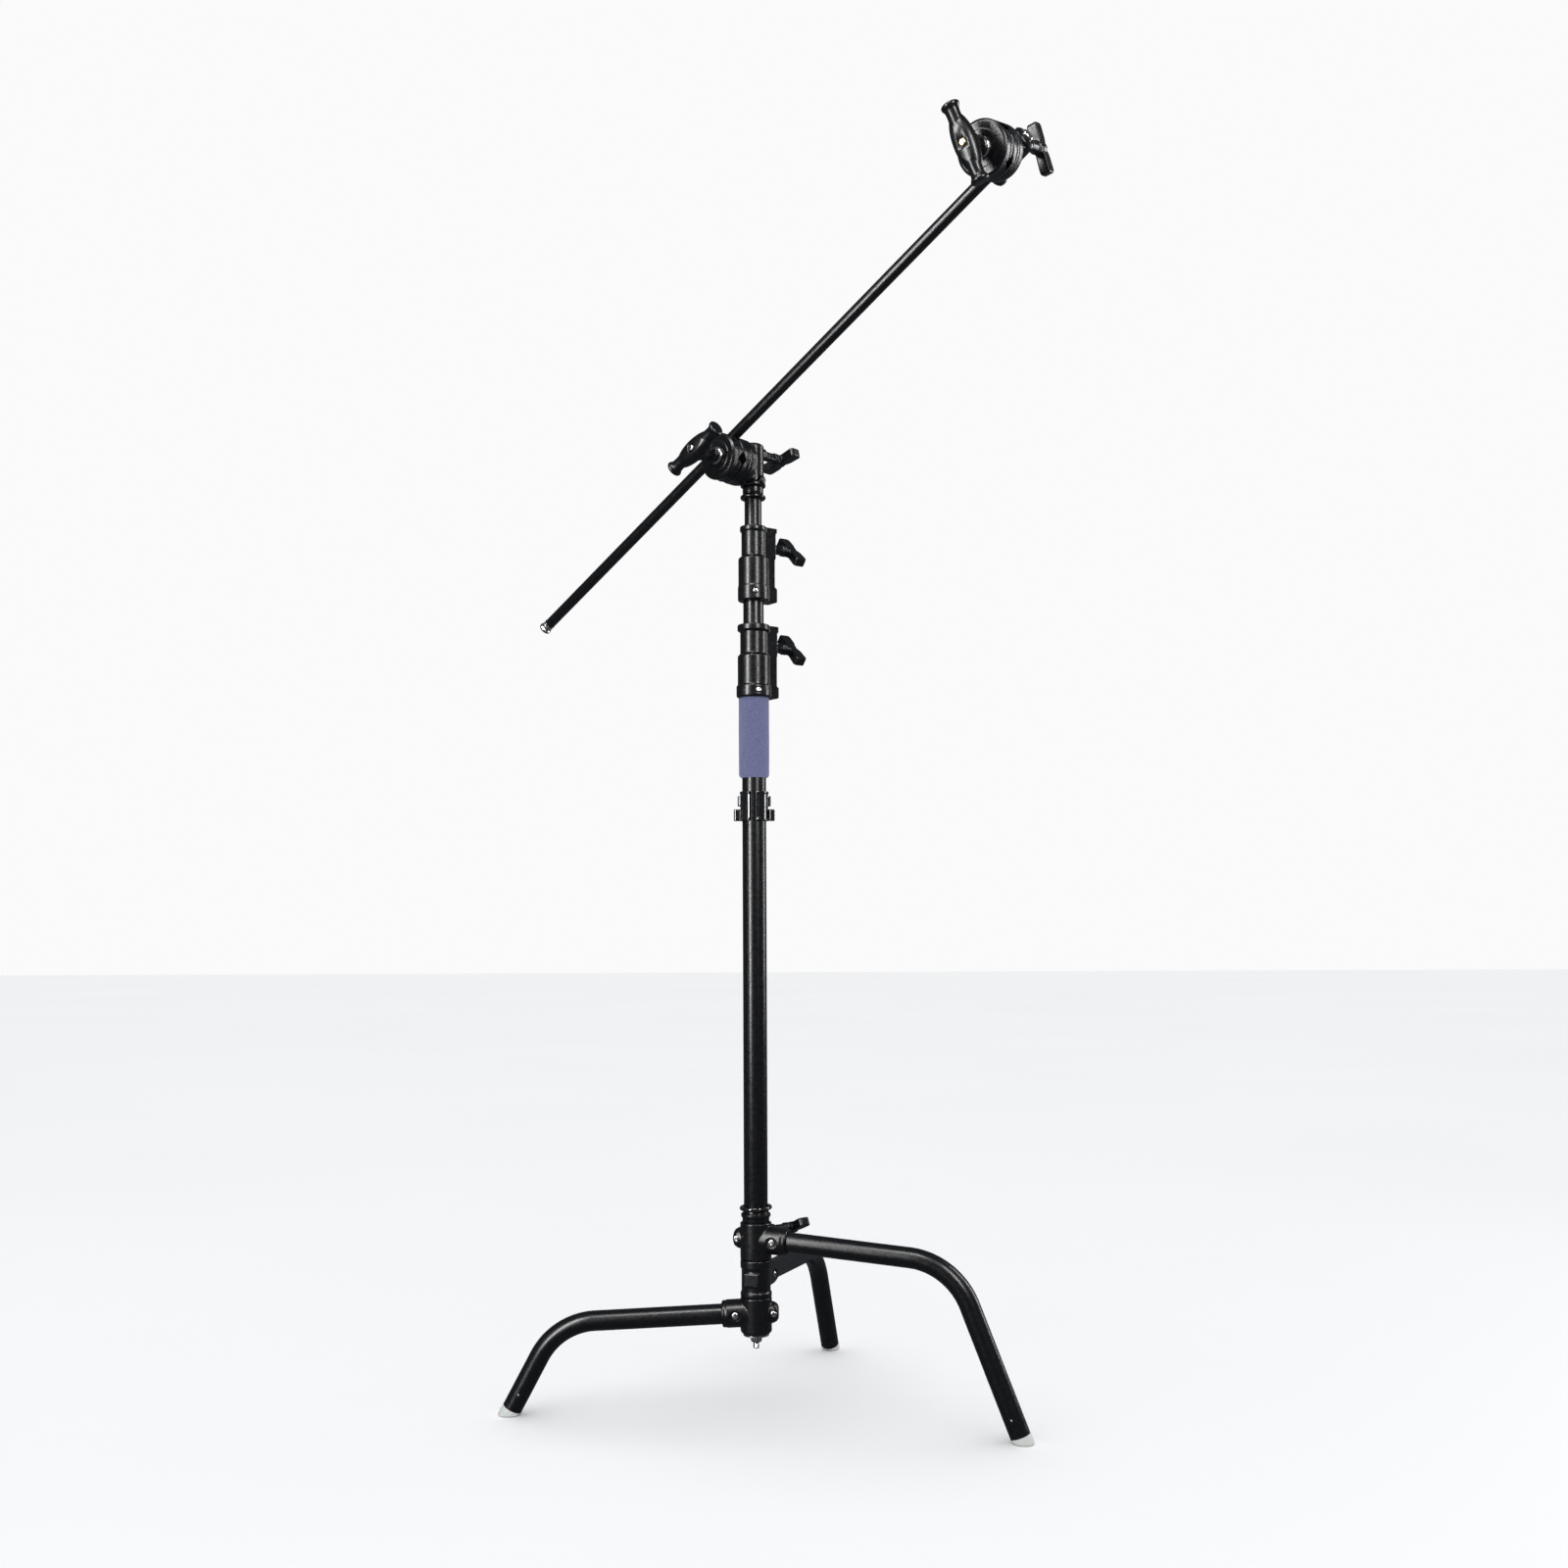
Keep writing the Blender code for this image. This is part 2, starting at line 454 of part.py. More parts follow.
def column(stand):
    """The base tube with its foot plug, ring, sleeve and clip, and the two risers."""
    inner = BASE_TUBE_R - BASE_TUBE_WALL
    pipe("base_tube", BASE_TUBE_R, inner, BASE_TUBE_Z, "black_coat", stand)
    lathe("column_plug", [(12.2 * MM, 150 * MM), (12.2 * MM, 262 * MM), (11.2 * MM, 264 * MM),
                          (11.2 * MM, 276 * MM), (12.2 * MM, 278 * MM), (12.2 * MM, 287.4 * MM),
                          (inner - GAP, 288.6 * MM), (inner - GAP, 305 * MM)], "steel", stand)
    ring_r, section = 20.9 * MM, 3.0 * MM
    lathe("column_ring", [(ring_r + section * cos(2 * pi * k / 8), section * sin(2 * pi * k / 8))
                          for k in range(8)], "black_plastic", stand,
          Matrix.Translation((0, 0, 306.4 * MM)) @ Matrix.Rotation(radians(-2), 4, "Y"), tube=True)
    lathe("foam_sleeve", [(21.5 * MM, 1053.6 * MM), (22.4 * MM, 1052.6 * MM), (22.4 * MM, 941 * MM),
                          (21.4 * MM, 937.5 * MM), (19.0 * MM, 936 * MM), (17.8 * MM, 936 * MM),
                          (17.8 * MM, 1053.6 * MM)], "blue_foam", stand, tube=True)
    clip_ring(stand)
    levels = ((1160, 23.2, 36.5), (1159, 23.6, 37), (1151.5, 23.6, 37), (1150, 19.6, 35),
              (1118, 19.6, 35), (1114, 23.4, 34), (1072, 23.4, 34), (1070, 25.4, 37),
              (1055.5, 25.4, 37), (1054, 24.2, 36))
    bores = ((1054, 17.9), (1112.5, 17.9), (1112.5, 15.35), (1160, 15.35))
    casting("casting_2", stand, [[v * MM for v in row] for row in levels],
            [[v * MM for v in row] for row in bores], KNOB_2_Z, radians(42),
            (radians(-72), 1063 * MM, 25.4 * MM, 18.3 * MM))
    pipe("riser_2", RISER_2_R, RISER_2_R - RISER_2_WALL, RISER_2_Z, "black_coat", stand)
    pipe("riser_2_bush", inner - GAP, RISER_2_R + 0.15 * MM, (RISER_2_Z[0], RISER_2_Z[0] + 40 * MM),
         "grey_bush", stand)
    levels = ((1304, 18.9, 34.5), (1303, 19.4, 35), (1297.5, 19.4, 35), (1296, 17.3, 33),
              (1260.5, 17.3, 33), (1257, 21.9, 31), (1218, 21.9, 31), (1215, 22.8, 35),
              (1196.5, 22.8, 35), (1195, 21.6, 34))
    bores = ((1195, 15.35), (1255.5, 15.35), (1255.5, 12.85), (1304, 12.85))
    casting("casting_1", stand, [[v * MM for v in row] for row in levels],
            [[v * MM for v in row] for row in bores], KNOB_1_Z, radians(40),
            (radians(-81), 1207 * MM, 22.8 * MM, 15.8 * MM))
    pipe("riser_3", RISER_3_R, RISER_3_R - RISER_3_WALL, RISER_3_Z, "black_coat", stand)
    pipe("riser_3_bush", RISER_2_R - RISER_2_WALL - 0.2 * MM, RISER_3_R + 0.15 * MM,
         (RISER_3_Z[0], RISER_3_Z[0] + 40 * MM), "grey_bush", stand)
    low, high = SPIGOT_Z
    plug = RISER_3_R - RISER_3_WALL - GAP
    lathe("top_spigot", [
        (plug, 1318 * MM), (plug, low), (17.2 * MM, low), (18.5 * MM, low + 1.5 * MM),
        (18.5 * MM, low + 4 * MM), (16.5 * MM, low + 6 * MM), (14.2 * MM, low + 8 * MM),
        (15.2 * MM, low + 9.5 * MM), (15.2 * MM, high - MM), (14.4 * MM, high), (PIN_R, high),
        (PIN_R, high + 10 * MM), (PIN_R - MM, high + 12 * MM), (PIN_R - MM, high + 26 * MM),
        (PIN_R, high + 28 * MM), (PIN_R, high + PIN_HEIGHT - 2 * MM), (PIN_R - MM, high + PIN_HEIGHT)],
        "black_coat", stand)


# ---------------------------------------------------------------- grip heads and arm

def groove(name, offset, face, depth, angle, frame):
    """A V-shaped cutter along a line across a plate, its point at depth behind the face."""
    reach = 45 * MM
    sign = 1 if depth > 0 else -1
    wide = abs(depth) + 2 * MM
    rings = []
    for s in (-reach, reach):
        rings.append([(face - depth, offset, s), (face + sign * 2 * MM, offset + wide, s),
                      (face + sign * 2 * MM, offset - wide, s)])
    return loft(name, rings, "black_cast", frame, Matrix.Rotation(angle, 4, "X"))


def plate(name, ends, frame, cuts):
    """A round clamping plate about the head's X axis with grooves and a bolt hole."""
    low, high = ends
    out = along((1, 0, 0))
    body = lathe(name, [(PLATE_R - 0.8 * MM, low), (PLATE_R, low + 0.8 * MM), (PLATE_R, high - 1.5 * MM),
                        (PLATE_R - 1.5 * MM, high)], "black_cast", frame, out)
    hole = lathe("hole", [(BOLT_HOLE, low - MM), (BOLT_HOLE, high + MM)], "black_cast", frame, out,
                 count=SEGMENTS_SMALL)
    return combine(body, cuts + [hole], "DIFFERENCE")


def grip_head(number, frame, jaw_turn, bar_turn, knob_roll):
    """Bracket, two plates, bolt, washer, handle and knob. Local X is the clamp axis
    towards the handle, local Z the receiver's axis."""
    tag = "_" + str(number)
    out = along((1, 0, 0))
    low, high = RECEIVER_Z
    bracket = lathe("bracket" + tag, [(RECEIVER_R + 1.5 * MM, low), (RECEIVER_R + 2.5 * MM, low + MM),
                                      (RECEIVER_R + 2.5 * MM, low + 5 * MM), (RECEIVER_R, low + 7 * MM),
                                      (RECEIVER_R, high - 3 * MM), (RECEIVER_R - 4 * MM, high)],
                    "black_cast", frame)
    disc = lathe("disc", [(PLATE_R - 4 * MM, DISC_X[0]), (PLATE_R, DISC_X[0] + 5 * MM),
                          (PLATE_R, DISC_X[1] - 0.8 * MM), (PLATE_R - 0.8 * MM, DISC_X[1])],
                 "black_cast", frame, out)
    web = box("web", (MM, -13 * MM, -22 * MM), (24 * MM, 13 * MM, 26 * MM), "black_cast", frame)
    boss = lathe("boss", [(9.5 * MM, 8 * MM), (9.5 * MM, HEAD_BOSS - 1.5 * MM), (8 * MM, HEAD_BOSS)],
                 "black_cast", frame, along((-1, 0, 0), (0, 0, HEAD_KNOB_Z)), count=SEGMENTS_SMALL)
    stop = lathe("stop", [(6.6 * MM, 9 * MM), (6.6 * MM, 19.5 * MM), (4.5 * MM, 21.5 * MM)], "black_cast",
                 frame, along((0, 1, 0), (0, 0, low + 8 * MM)), count=SEGMENTS_SMALL)
    combine(bracket, [disc, web, boss, stop], "UNION")
    bore = lathe("bore", [(RECEIVER_BORE, low - MM), (RECEIVER_BORE, high + MM)], "black_cast", frame)
    stud_hole = lathe("stud_hole", [(STUD_R + GAP, 6 * MM), (STUD_R + GAP, 25 * MM)], "black_cast", frame,
                      along((-1, 0, 0), (0, 0, HEAD_KNOB_Z)), count=SEGMENTS_SMALL)
    bolt_hole = lathe("bolt_hole", [(BOLT_HOLE, 13.4 * MM), (BOLT_HOLE, 40 * MM)], "black_cast", frame, out,
                      count=SEGMENTS_SMALL)
    combine(bracket, [bore, stud_hole, bolt_hole], "DIFFERENCE")
    plates = empty("plates" + tag + "_axle", Matrix(), frame)
    slack = (FRONT_X[0] - MIDDLE_X[1]) / 2
    deep, shallow = ARM_R * 2 ** 0.5 + GAP - slack, 8 * MM
    # A groove is cut along local Z and then turned to the jaw's line, which is given from local Y.
    arm_turn = jaw_turn - pi / 2
    plate("middle_plate" + tag, MIDDLE_X, plates,
          [groove("v", -ARM_OFFSET, MIDDLE_X[1], deep, arm_turn, plates),
           groove("v", ARM_OFFSET, MIDDLE_X[1], shallow, arm_turn, plates)])
    plate("front_plate" + tag, FRONT_X, plates,
          [groove("v", -ARM_OFFSET, FRONT_X[0], -deep, arm_turn, plates),
           groove("v", ARM_OFFSET, FRONT_X[0], -shallow, arm_turn, plates)])
    lathe("clamp_bolt" + tag, [(BOLT_R, 13.8 * MM), (BOLT_R, 111 * MM)], "bright_steel", frame, out,
          count=SEGMENTS_SMALL)
    handle_axle = empty("handle" + tag + "_axle", Matrix.Rotation(bar_turn, 4, "X"), frame)
    washer_low, washer_high = WASHER_X
    lathe("bearing_washer" + tag, [(13 * MM, washer_low), (13 * MM, washer_low + 3 * MM), (10 * MM, washer_high),
                                   (BOLT_HOLE, washer_high), (BOLT_HOLE, washer_low)],
          "bright_steel", plates, out, tube=True)
    bar = lathe("handle" + tag, [(BAR_R - MM, -BAR_HALF), (BAR_R + 1.6 * MM, -BAR_HALF + 1.5 * MM),
                                 (BAR_R + 1.6 * MM, -BAR_HALF + 5 * MM), (BAR_R - MM, -BAR_HALF + 8 * MM),
                                 (BAR_R, -12 * MM), (BAR_R, 12 * MM), (BAR_R - MM, BAR_HALF - 8 * MM),
                                 (BAR_R + 1.6 * MM, BAR_HALF - 5 * MM), (BAR_R + 1.6 * MM, BAR_HALF - 1.5 * MM),
                                 (BAR_R - MM, BAR_HALF)],
                "black_cast", handle_axle, along((0, 1, 0), (BAR_X, 0, 0)), count=16)
    hub_cone = lathe("cone", [(11.5 * MM, washer_high + 0.5 * MM), (13.5 * MM, washer_high + 3 * MM),
                              (11.5 * MM, 100 * MM), (15 * MM, 114 * MM), (9 * MM, 122 * MM)],
                     "black_cast", handle_axle, out, count=16)
    combine(bar, [hub_cone], "UNION")
    face = BAR_X + BAR_R
    cuts = [lathe("bore", [(BOLT_HOLE, washer_high - MM), (BOLT_HOLE, 112 * MM)], "black_cast", handle_axle,
                  out, count=SEGMENTS_SMALL),
            lathe("hole", [(2.9 * MM, 111.5 * MM), (2.9 * MM, face)], "black_cast", handle_axle, out,
                  count=SEGMENTS_SMALL),
            lathe("recess", [(6 * MM, face - 3.5 * MM), (6 * MM, face + 2 * MM)], "black_cast", handle_axle,
                  out, count=SEGMENTS_SMALL)]
    combine(bar, cuts, "DIFFERENCE")
    screw("handle_screw" + tag, handle_axle, out, 111.9 * MM, face - 3.2 * MM, 4.6 * MM)
    seat = turned(pi, (0, 0, HEAD_KNOB_Z)) @ Matrix.Translation((HEAD_KNOB_REACH, 0, 0))
    knob("knob_head" + tag, frame, seat @ Matrix.Rotation(knob_roll, 4, "X"), HEAD_KNOB_REACH - 8.8 * MM,
         HEAD_KNOB_REACH - HEAD_BOSS - MM)


def head_frames():
    """Matrices of head 1, of the arm's middle line and of head 2, in the stand's axes."""
    run = heading(ARM_HEADING)
    axis = Vector((0, 0, 1)).cross(run) * -1
    line = run * cos(ARM_RISE) + Vector((0, 0, sin(ARM_RISE)))
    up = axis.cross(line)
    centre = Vector((0, 0, HEAD_1_Z))
    first = Matrix.Translation(centre) @ Matrix((axis, Vector((0, 0, 1)).cross(axis), (0, 0, 1))).transposed().to_4x4()
    mid = (FRONT_X[0] + MIDDLE_X[1]) / 2
    crossing = centre + axis * mid + up * ARM_OFFSET
    arm = along(line, crossing - line * ARM_BELOW, axis)
    axis_2 = axis * cos(HEAD_2_ROLL) + line.cross(axis) * sin(HEAD_2_ROLL)
    seat = crossing + line * (ARM_LENGTH - ARM_BELOW - HEAD_2_SEAT)
    second = Matrix.Translation(seat) @ Matrix((axis_2, line.cross(axis_2), line)).transposed().to_4x4()
    return first, arm, second


def arm_and_heads(stand):
    first, arm, second = head_frames()
    head_1 = empty("head_1_frame", first, stand)
    grip_head(1, head_1, ARM_RISE, BAR_TURN[0], radians(-14))
    arm_axle = empty("arm_frame", arm, stand)
    lathe("grip_arm", [(ARM_R, ARM_LENGTH), (ARM_R, 16 * MM), (ARM_R - MM, 15 * MM), (5.6 * MM, 15 * MM),
                       (5.6 * MM, 60 * MM), (5.6 * MM, ARM_LENGTH)], "black_coat", arm_axle, tube=True, count=16)
    lathe("arm_tip", [(8.8 * MM, 0), (9.6 * MM, MM), (9.6 * MM, 3.5 * MM), (7.4 * MM, 5 * MM),
                      (7.4 * MM, 8 * MM), (8.4 * MM, 9 * MM), (8.4 * MM, 14.6 * MM), (5.2 * MM, 14.6 * MM),
                      (5.2 * MM, 45 * MM)], "bright_steel", arm_axle, count=16)
    head_2 = empty("head_2_frame", second, stand)
    grip_head(2, head_2, GROOVE_TURN_2, BAR_TURN[1], radians(18))


def main():
    clear_scene()
    stand = empty("stand_frame", Matrix.Translation((COLUMN_X, COLUMN_Y, 0)))
    base(stand)
    column(stand)
    arm_and_heads(stand)


main()
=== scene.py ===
"""The looks of the C stand: fine meshes, coats, floor, light and camera around the CAD frame."""

import json
from math import asin, atan2, cos, pi, radians, sin, tan

import bmesh
import bpy
from mathutils import Matrix, Vector, noise


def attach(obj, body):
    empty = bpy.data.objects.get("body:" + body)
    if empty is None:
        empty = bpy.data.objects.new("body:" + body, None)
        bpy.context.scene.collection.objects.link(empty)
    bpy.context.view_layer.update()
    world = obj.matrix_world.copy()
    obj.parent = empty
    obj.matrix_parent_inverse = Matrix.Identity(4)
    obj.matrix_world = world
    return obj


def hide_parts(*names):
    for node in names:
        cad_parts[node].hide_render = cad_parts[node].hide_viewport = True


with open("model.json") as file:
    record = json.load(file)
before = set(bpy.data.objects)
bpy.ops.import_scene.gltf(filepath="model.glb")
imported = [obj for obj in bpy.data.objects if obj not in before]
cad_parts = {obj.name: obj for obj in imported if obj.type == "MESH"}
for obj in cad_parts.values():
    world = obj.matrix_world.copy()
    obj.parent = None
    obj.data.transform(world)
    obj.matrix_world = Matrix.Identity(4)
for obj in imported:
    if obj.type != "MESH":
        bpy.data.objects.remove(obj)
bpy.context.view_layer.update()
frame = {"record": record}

MM = 0.001
ROUND, ROUND_SMALL = ((72, 40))
VOXEL_GROWTH = 1.0
CAST_SHARP = 70

# ---------------------------------------------------------------- the part's own sizes

COLUMN_X, COLUMN_Y = -0.0036, 0.0461
BASE_TUBE_R, BASE_TUBE_WALL = 17.5 * MM, 1.5 * MM
RISER_2_R, RISER_2_WALL = 15.0 * MM, 1.4 * MM
RISER_3_R, RISER_3_WALL = 12.5 * MM, 1.4 * MM
BASE_TUBE_Z = (288.3 * MM, 1112.0 * MM)
RISER_2_Z = (345.0 * MM, 1254.8 * MM)
RISER_3_Z = (385.0 * MM, 1343.8 * MM)
SPIGOT_Z = (1344.2 * MM, 1361.7 * MM)
PIN_R, PIN_HEIGHT = 7.9 * MM, 61.0 * MM
GAP = 0.3 * MM

KNOB_ANGLE = radians(35)
KNOB_REACH = 68.0 * MM
KNOB_2_Z, KNOB_1_Z, KNOB_BASE_Z = 1130.0 * MM, 1276.0 * MM, 270.0 * MM
KNOB_HALF, KNOB_THICK, KNOB_NECK_R = 32.0 * MM, 13.0 * MM, 8.4 * MM
STUD_R = 4.0 * MM

HUB_R, HUB_BORE = 23.0 * MM, 16.1 * MM
POST_R, POST_BORE = 15.6 * MM, 12.6 * MM
SOCKET_R, SOCKET_REACH, SOCKET_FLOOR = 20.5 * MM, 50.0 * MM, 24.5 * MM
LUG_R, LUG_REACH, HUB_BOSS = 15.5 * MM, 33.0 * MM, 33.0 * MM
LEG_R, LEG_WALL, LEG_BEND = 14.8 * MM, 1.5 * MM, 100.0 * MM
LEG_CORNER = 294.0 * MM
LEG_SLOPE = radians(3.4)
FOOT_TOP = 9.5 * MM
LEGS = {
    "right": (231.4 * MM, 285.3 * MM, 261.0 * MM, radians(-18.3), 392.0 * MM, -1),
    "back": (176.4 * MM, 231.0 * MM, 205.0 * MM, radians(71.9), 384.0 * MM, -1),
    "left": (121.6 * MM, 176.0 * MM, 153.0 * MM, radians(177.8), 366.0 * MM, 1),
}
HUB_NAMES = {"right": "upper_hub", "back": "middle_hub", "left": "lower_hub"}

HEAD_1_Z = 1392.0 * MM
ARM_HEADING, ARM_RISE = radians(-41.5), radians(28.1)
ARM_R, ARM_LENGTH, ARM_BELOW, ARM_OFFSET = 7.94 * MM, 1041.0 * MM, 449.0 * MM, 20.0 * MM
PLATE_R = 33.0 * MM
DISC_X = (20.0 * MM, 37.0 * MM)
MIDDLE_X = (37.5 * MM, 55.0 * MM)
FRONT_X = (56.5 * MM, 76.5 * MM)
WASHER_X = (77.0 * MM, 83.5 * MM)
BAR_X, BAR_R = 122.0 * MM, 10.0 * MM
BOLT_R, BOLT_HOLE = 5.0 * MM, 5.5 * MM
RECEIVER_R, RECEIVER_Z = 16.0 * MM, (-30.0 * MM, 33.0 * MM)
RECEIVER_BORE = 8.25 * MM
HEAD_KNOB_Z, HEAD_KNOB_REACH, HEAD_BOSS = 22.0 * MM, 62.0 * MM, 22.5 * MM
HEAD_2_ROLL = radians(17.4)
HEAD_2_SEAT = 36.5 * MM
BAR_TURN = (radians(26.0), radians(-12.0))
GROOVE_TURN_2 = radians(60.8)

# ---------------------------------------------------------------- materials


def texture(tree, scale, detail=4.0, stretch=(1, 1, 1), kind="ShaderNodeTexNoise"):
    """A noise or cell texture in the piece's own metres, stretched by whole axes."""
    place = tree.nodes.new("ShaderNodeTexCoord")
    mapping = tree.nodes.new("ShaderNodeMapping")
    mapping.inputs["Scale"].default_value = stretch
    made = tree.nodes.new(kind)
    made.inputs["Scale"].default_value = scale
    if "Detail" in made.inputs:
        made.inputs["Detail"].default_value = detail
    tree.links.new(place.outputs["Object"], mapping.inputs["Vector"])
    tree.links.new(mapping.outputs["Vector"], made.inputs["Vector"])
    return made


def spread(tree, value, low, high, to_low, to_high):
    """One range of values laid over another, cut off at its ends."""
    made = tree.nodes.new("ShaderNodeMapRange")
    for socket, number in zip(("From Min", "From Max", "To Min", "To Max"), (low, high, to_low, to_high)):
        made.inputs[socket].default_value = number
    tree.links.new(value, made.inputs["Value"])
    return made.outputs["Result"]


def mixed(tree, share, first, second):
    """Two colours mixed by a share: each is a plain colour or a socket."""
    made = tree.nodes.new("ShaderNodeMix")
    made.data_type = "RGBA"
    for socket, colour in ((made.inputs[6], first), (made.inputs[7], second)):
        if isinstance(colour, tuple):
            socket.default_value = (*colour, 1)
        else:
            tree.links.new(colour, socket)
    tree.links.new(share, made.inputs[0])
    return made.outputs[2]


def times(tree, first, second):
    """Two sockets multiplied."""
    made = tree.nodes.new("ShaderNodeMath")
    made.operation = "MULTIPLY"
    for socket, value in zip(made.inputs, (first, second)):
        tree.links.new(value, socket)
    return made.outputs[0]


def coat(name, colour, roughness, bumps, metallic=0.0, tint=0.12, tint_scale=40, rough_shift=0.05,
         rough_scale=180, stretch=(1, 1, 1), edge_tone=None, cells=None, fixed=()):
    """A Principled material: a mottled colour, uneven roughness, layers of bump as
    (scale, height in metres), and lighter sharp edges as (colour, amount) where given."""
    made = bpy.data.materials.get(name)
    if made:
        return made
    made = bpy.data.materials.new(name)
    made.use_nodes = True
    tree = made.node_tree
    shader = tree.nodes["Principled BSDF"]
    shader.inputs["Metallic"].default_value = metallic
    for socket, value in fixed:
        shader.inputs[socket].default_value = value
    patches = texture(tree, tint_scale).outputs["Fac"]
    dark = tuple(c * (1 - tint) for c in colour)
    light = tuple(min(1, c * (1 + tint)) for c in colour)
    face = mixed(tree, spread(tree, patches, 0.3, 0.7, 0, 1), dark, light)
    grain = texture(tree, rough_scale, 5, stretch).outputs["Fac"]
    rough = spread(tree, grain, 0.3, 0.7, roughness - rough_shift, roughness + rough_shift)
    # Sharp edges, found by pointiness and broken up by noise, get a lighter colour mixed in.
    if edge_tone:
        pointiness = tree.nodes.new("ShaderNodeNewGeometry").outputs["Pointiness"]
        edges = spread(tree, pointiness, 0.56, 0.70, 0, edge_tone[1])
        edge_share = times(tree, edges, spread(tree, texture(tree, 220, 6).outputs["Fac"], 0.42, 0.6, 0.2, 1))
        face = mixed(tree, edge_share, face, edge_tone[0])
    tree.links.new(face, shader.inputs["Base Color"])
    tree.links.new(rough, shader.inputs["Roughness"])
    normal = None
    layers = [(texture(tree, scale, 3, stretch).outputs["Fac"], height) for scale, height in bumps]
    if cells:
        layers.append((texture(tree, cells[0], kind="ShaderNodeTexVoronoi").outputs["Distance"], cells[1]))
    for value, height in layers:
        bump = tree.nodes.new("ShaderNodeBump")
        bump.inputs["Distance"].default_value = height
        bump.inputs["Strength"].default_value = 1.0
        tree.links.new(value, bump.inputs["Height"])
        if normal:
            tree.links.new(normal, bump.inputs["Normal"])
        normal = bump.outputs["Normal"]
    tree.links.new(normal, shader.inputs["Normal"])
    return made


# A lighter grey mixed in along the sharp edges of the black coats.
EDGE_GREY = (0.06, 0.06, 0.07)


def black_coat():
    """Satin black powder coat of the tubes."""
    return coat("satin_powder_coat", (0.0040, 0.0042, 0.0056), 0.29, ((900, 0.000005), (2600, 0.000002)),
                edge_tone=(EDGE_GREY, 0.4), fixed=(("Specular IOR Level", 0.34),))


def black_cast():
    """Black paint over the castings."""
    return coat("black_casting", (0.0040, 0.0042, 0.0055), 0.30, ((420, 0.000014), (1500, 0.000004)),
                edge_tone=(EDGE_GREY, 0.5), fixed=(("Specular IOR Level", 0.34),))


def black_iron():
    """Rougher black of the leg hubs."""
    return coat("black_iron_hub", (0.0042, 0.0044, 0.0056), 0.31, ((300, 0.00002), (1200, 0.000006)),
                edge_tone=(EDGE_GREY, 0.5), fixed=(("Specular IOR Level", 0.34),))


def black_plastic():
    """Glossy black plastic of plugs and clips."""
    return coat("glossy_black_plastic", (0.009, 0.009, 0.010), 0.16, ((120, 0.00005), (2000, 0.000008)),
                rough_shift=0.05, fixed=(("Coat Weight", 0.4), ("Coat Roughness", 0.08)))


def bright_steel():
    """Bright plated screws and the end of the arm."""
    # Its sharp edges get a lighter steel colour mixed in.
    return coat("bright_plated_steel", (0.50, 0.475, 0.46), 0.21, ((1400, 0.00002), (3500, 0.00001)),
                metallic=1.0, tint=0.08, tint_scale=120, rough_shift=0.08, edge_tone=((0.85, 0.84, 0.82), 0.4))


def warm_steel():
    """A screw with a yellow wash."""
    return coat("yellow_passivated_steel", (0.62, 0.47, 0.27), 0.24, ((1400, 0.00002), (3500, 0.00001)),
                metallic=1.0, tint=0.12, tint_scale=160, rough_shift=0.08)


def steel():
    """Turned steel of bolts and studs."""
    return coat("turned_steel", (0.36, 0.36, 0.38), 0.33, ((2200, 0.00003), (700, 0.00002)), metallic=1.0,
                stretch=(0.2, 0.2, 4), tint=0.15, tint_scale=90)


def blue_foam():
    """Blue grey foam of the sleeve."""
    return coat("blue_grey_foam", (0.185, 0.198, 0.385), 0.93, ((260, 0.00025), (2400, 0.00012)), tint=0.14,
                tint_scale=300, rough_shift=0.05, cells=(2600, 0.00012),
                fixed=(("Sheen Weight", 0.25), ("Sheen Roughness", 0.5), ("Specular IOR Level", 0.3)))


def pale_foot():
    """Milky plastic of the feet."""
    return coat("milky_plastic", (0.84, 0.85, 0.83), 0.38, ((200, 0.00015), (1500, 0.00003)), tint=0.05,
                tint_scale=90, rough_shift=0.1,
                fixed=(("Subsurface Weight", 0.35), ("Subsurface Scale", 0.004)))


def grey_bush():
    """Grey nylon of the bushes."""
    return coat("grey_nylon", (0.28, 0.28, 0.30), 0.55, ((600, 0.00006), (2000, 0.00002)), tint=0.1)


COATS = {"black_coat": black_coat, "black_cast": black_cast, "black_iron": black_iron,
         "black_plastic": black_plastic, "bright_steel": bright_steel, "steel": steel,
         "blue_foam": blue_foam, "pale_foot": pale_foot, "grey_bush": grey_bush}

# ---------------------------------------------------------------- mesh helpers


def build(name, points, faces, place=None):
    """One mesh object in the frame, its faces turned outwards."""
    place = place or Matrix()
    mesh = bpy.data.meshes.new(name)
    mesh.from_pydata([place @ Vector(p) for p in points], [], faces)
    shape = bmesh.new()
    shape.from_mesh(mesh)
    bmesh.ops.recalc_face_normals(shape, faces=shape.faces)
    shape.to_mesh(mesh)
    shape.free()
    made = bpy.data.objects.new(name, mesh)
    bpy.context.collection.objects.link(made)
    return made


def loft(name, rings, place=None, tube=False):
    """Rings of equal count joined in turn: ends capped, or last to first for a tube."""
    count = len(rings[0])
    points = [p for ring in rings for p in ring]
    steps = len(rings) if tube else len(rings) - 1
    faces = []
    for i in range(steps):
        here, there = i * count, (i + 1) % len(rings) * count
        for k in range(count):
            after = (k + 1) % count
            faces.append((here + k, here + after, there + after, there + k))
    if not tube:
        faces.append(tuple(range(count)))
        faces.append(tuple(range((len(rings) - 1) * count, len(rings) * count)))
    return build(name, points, faces, place)


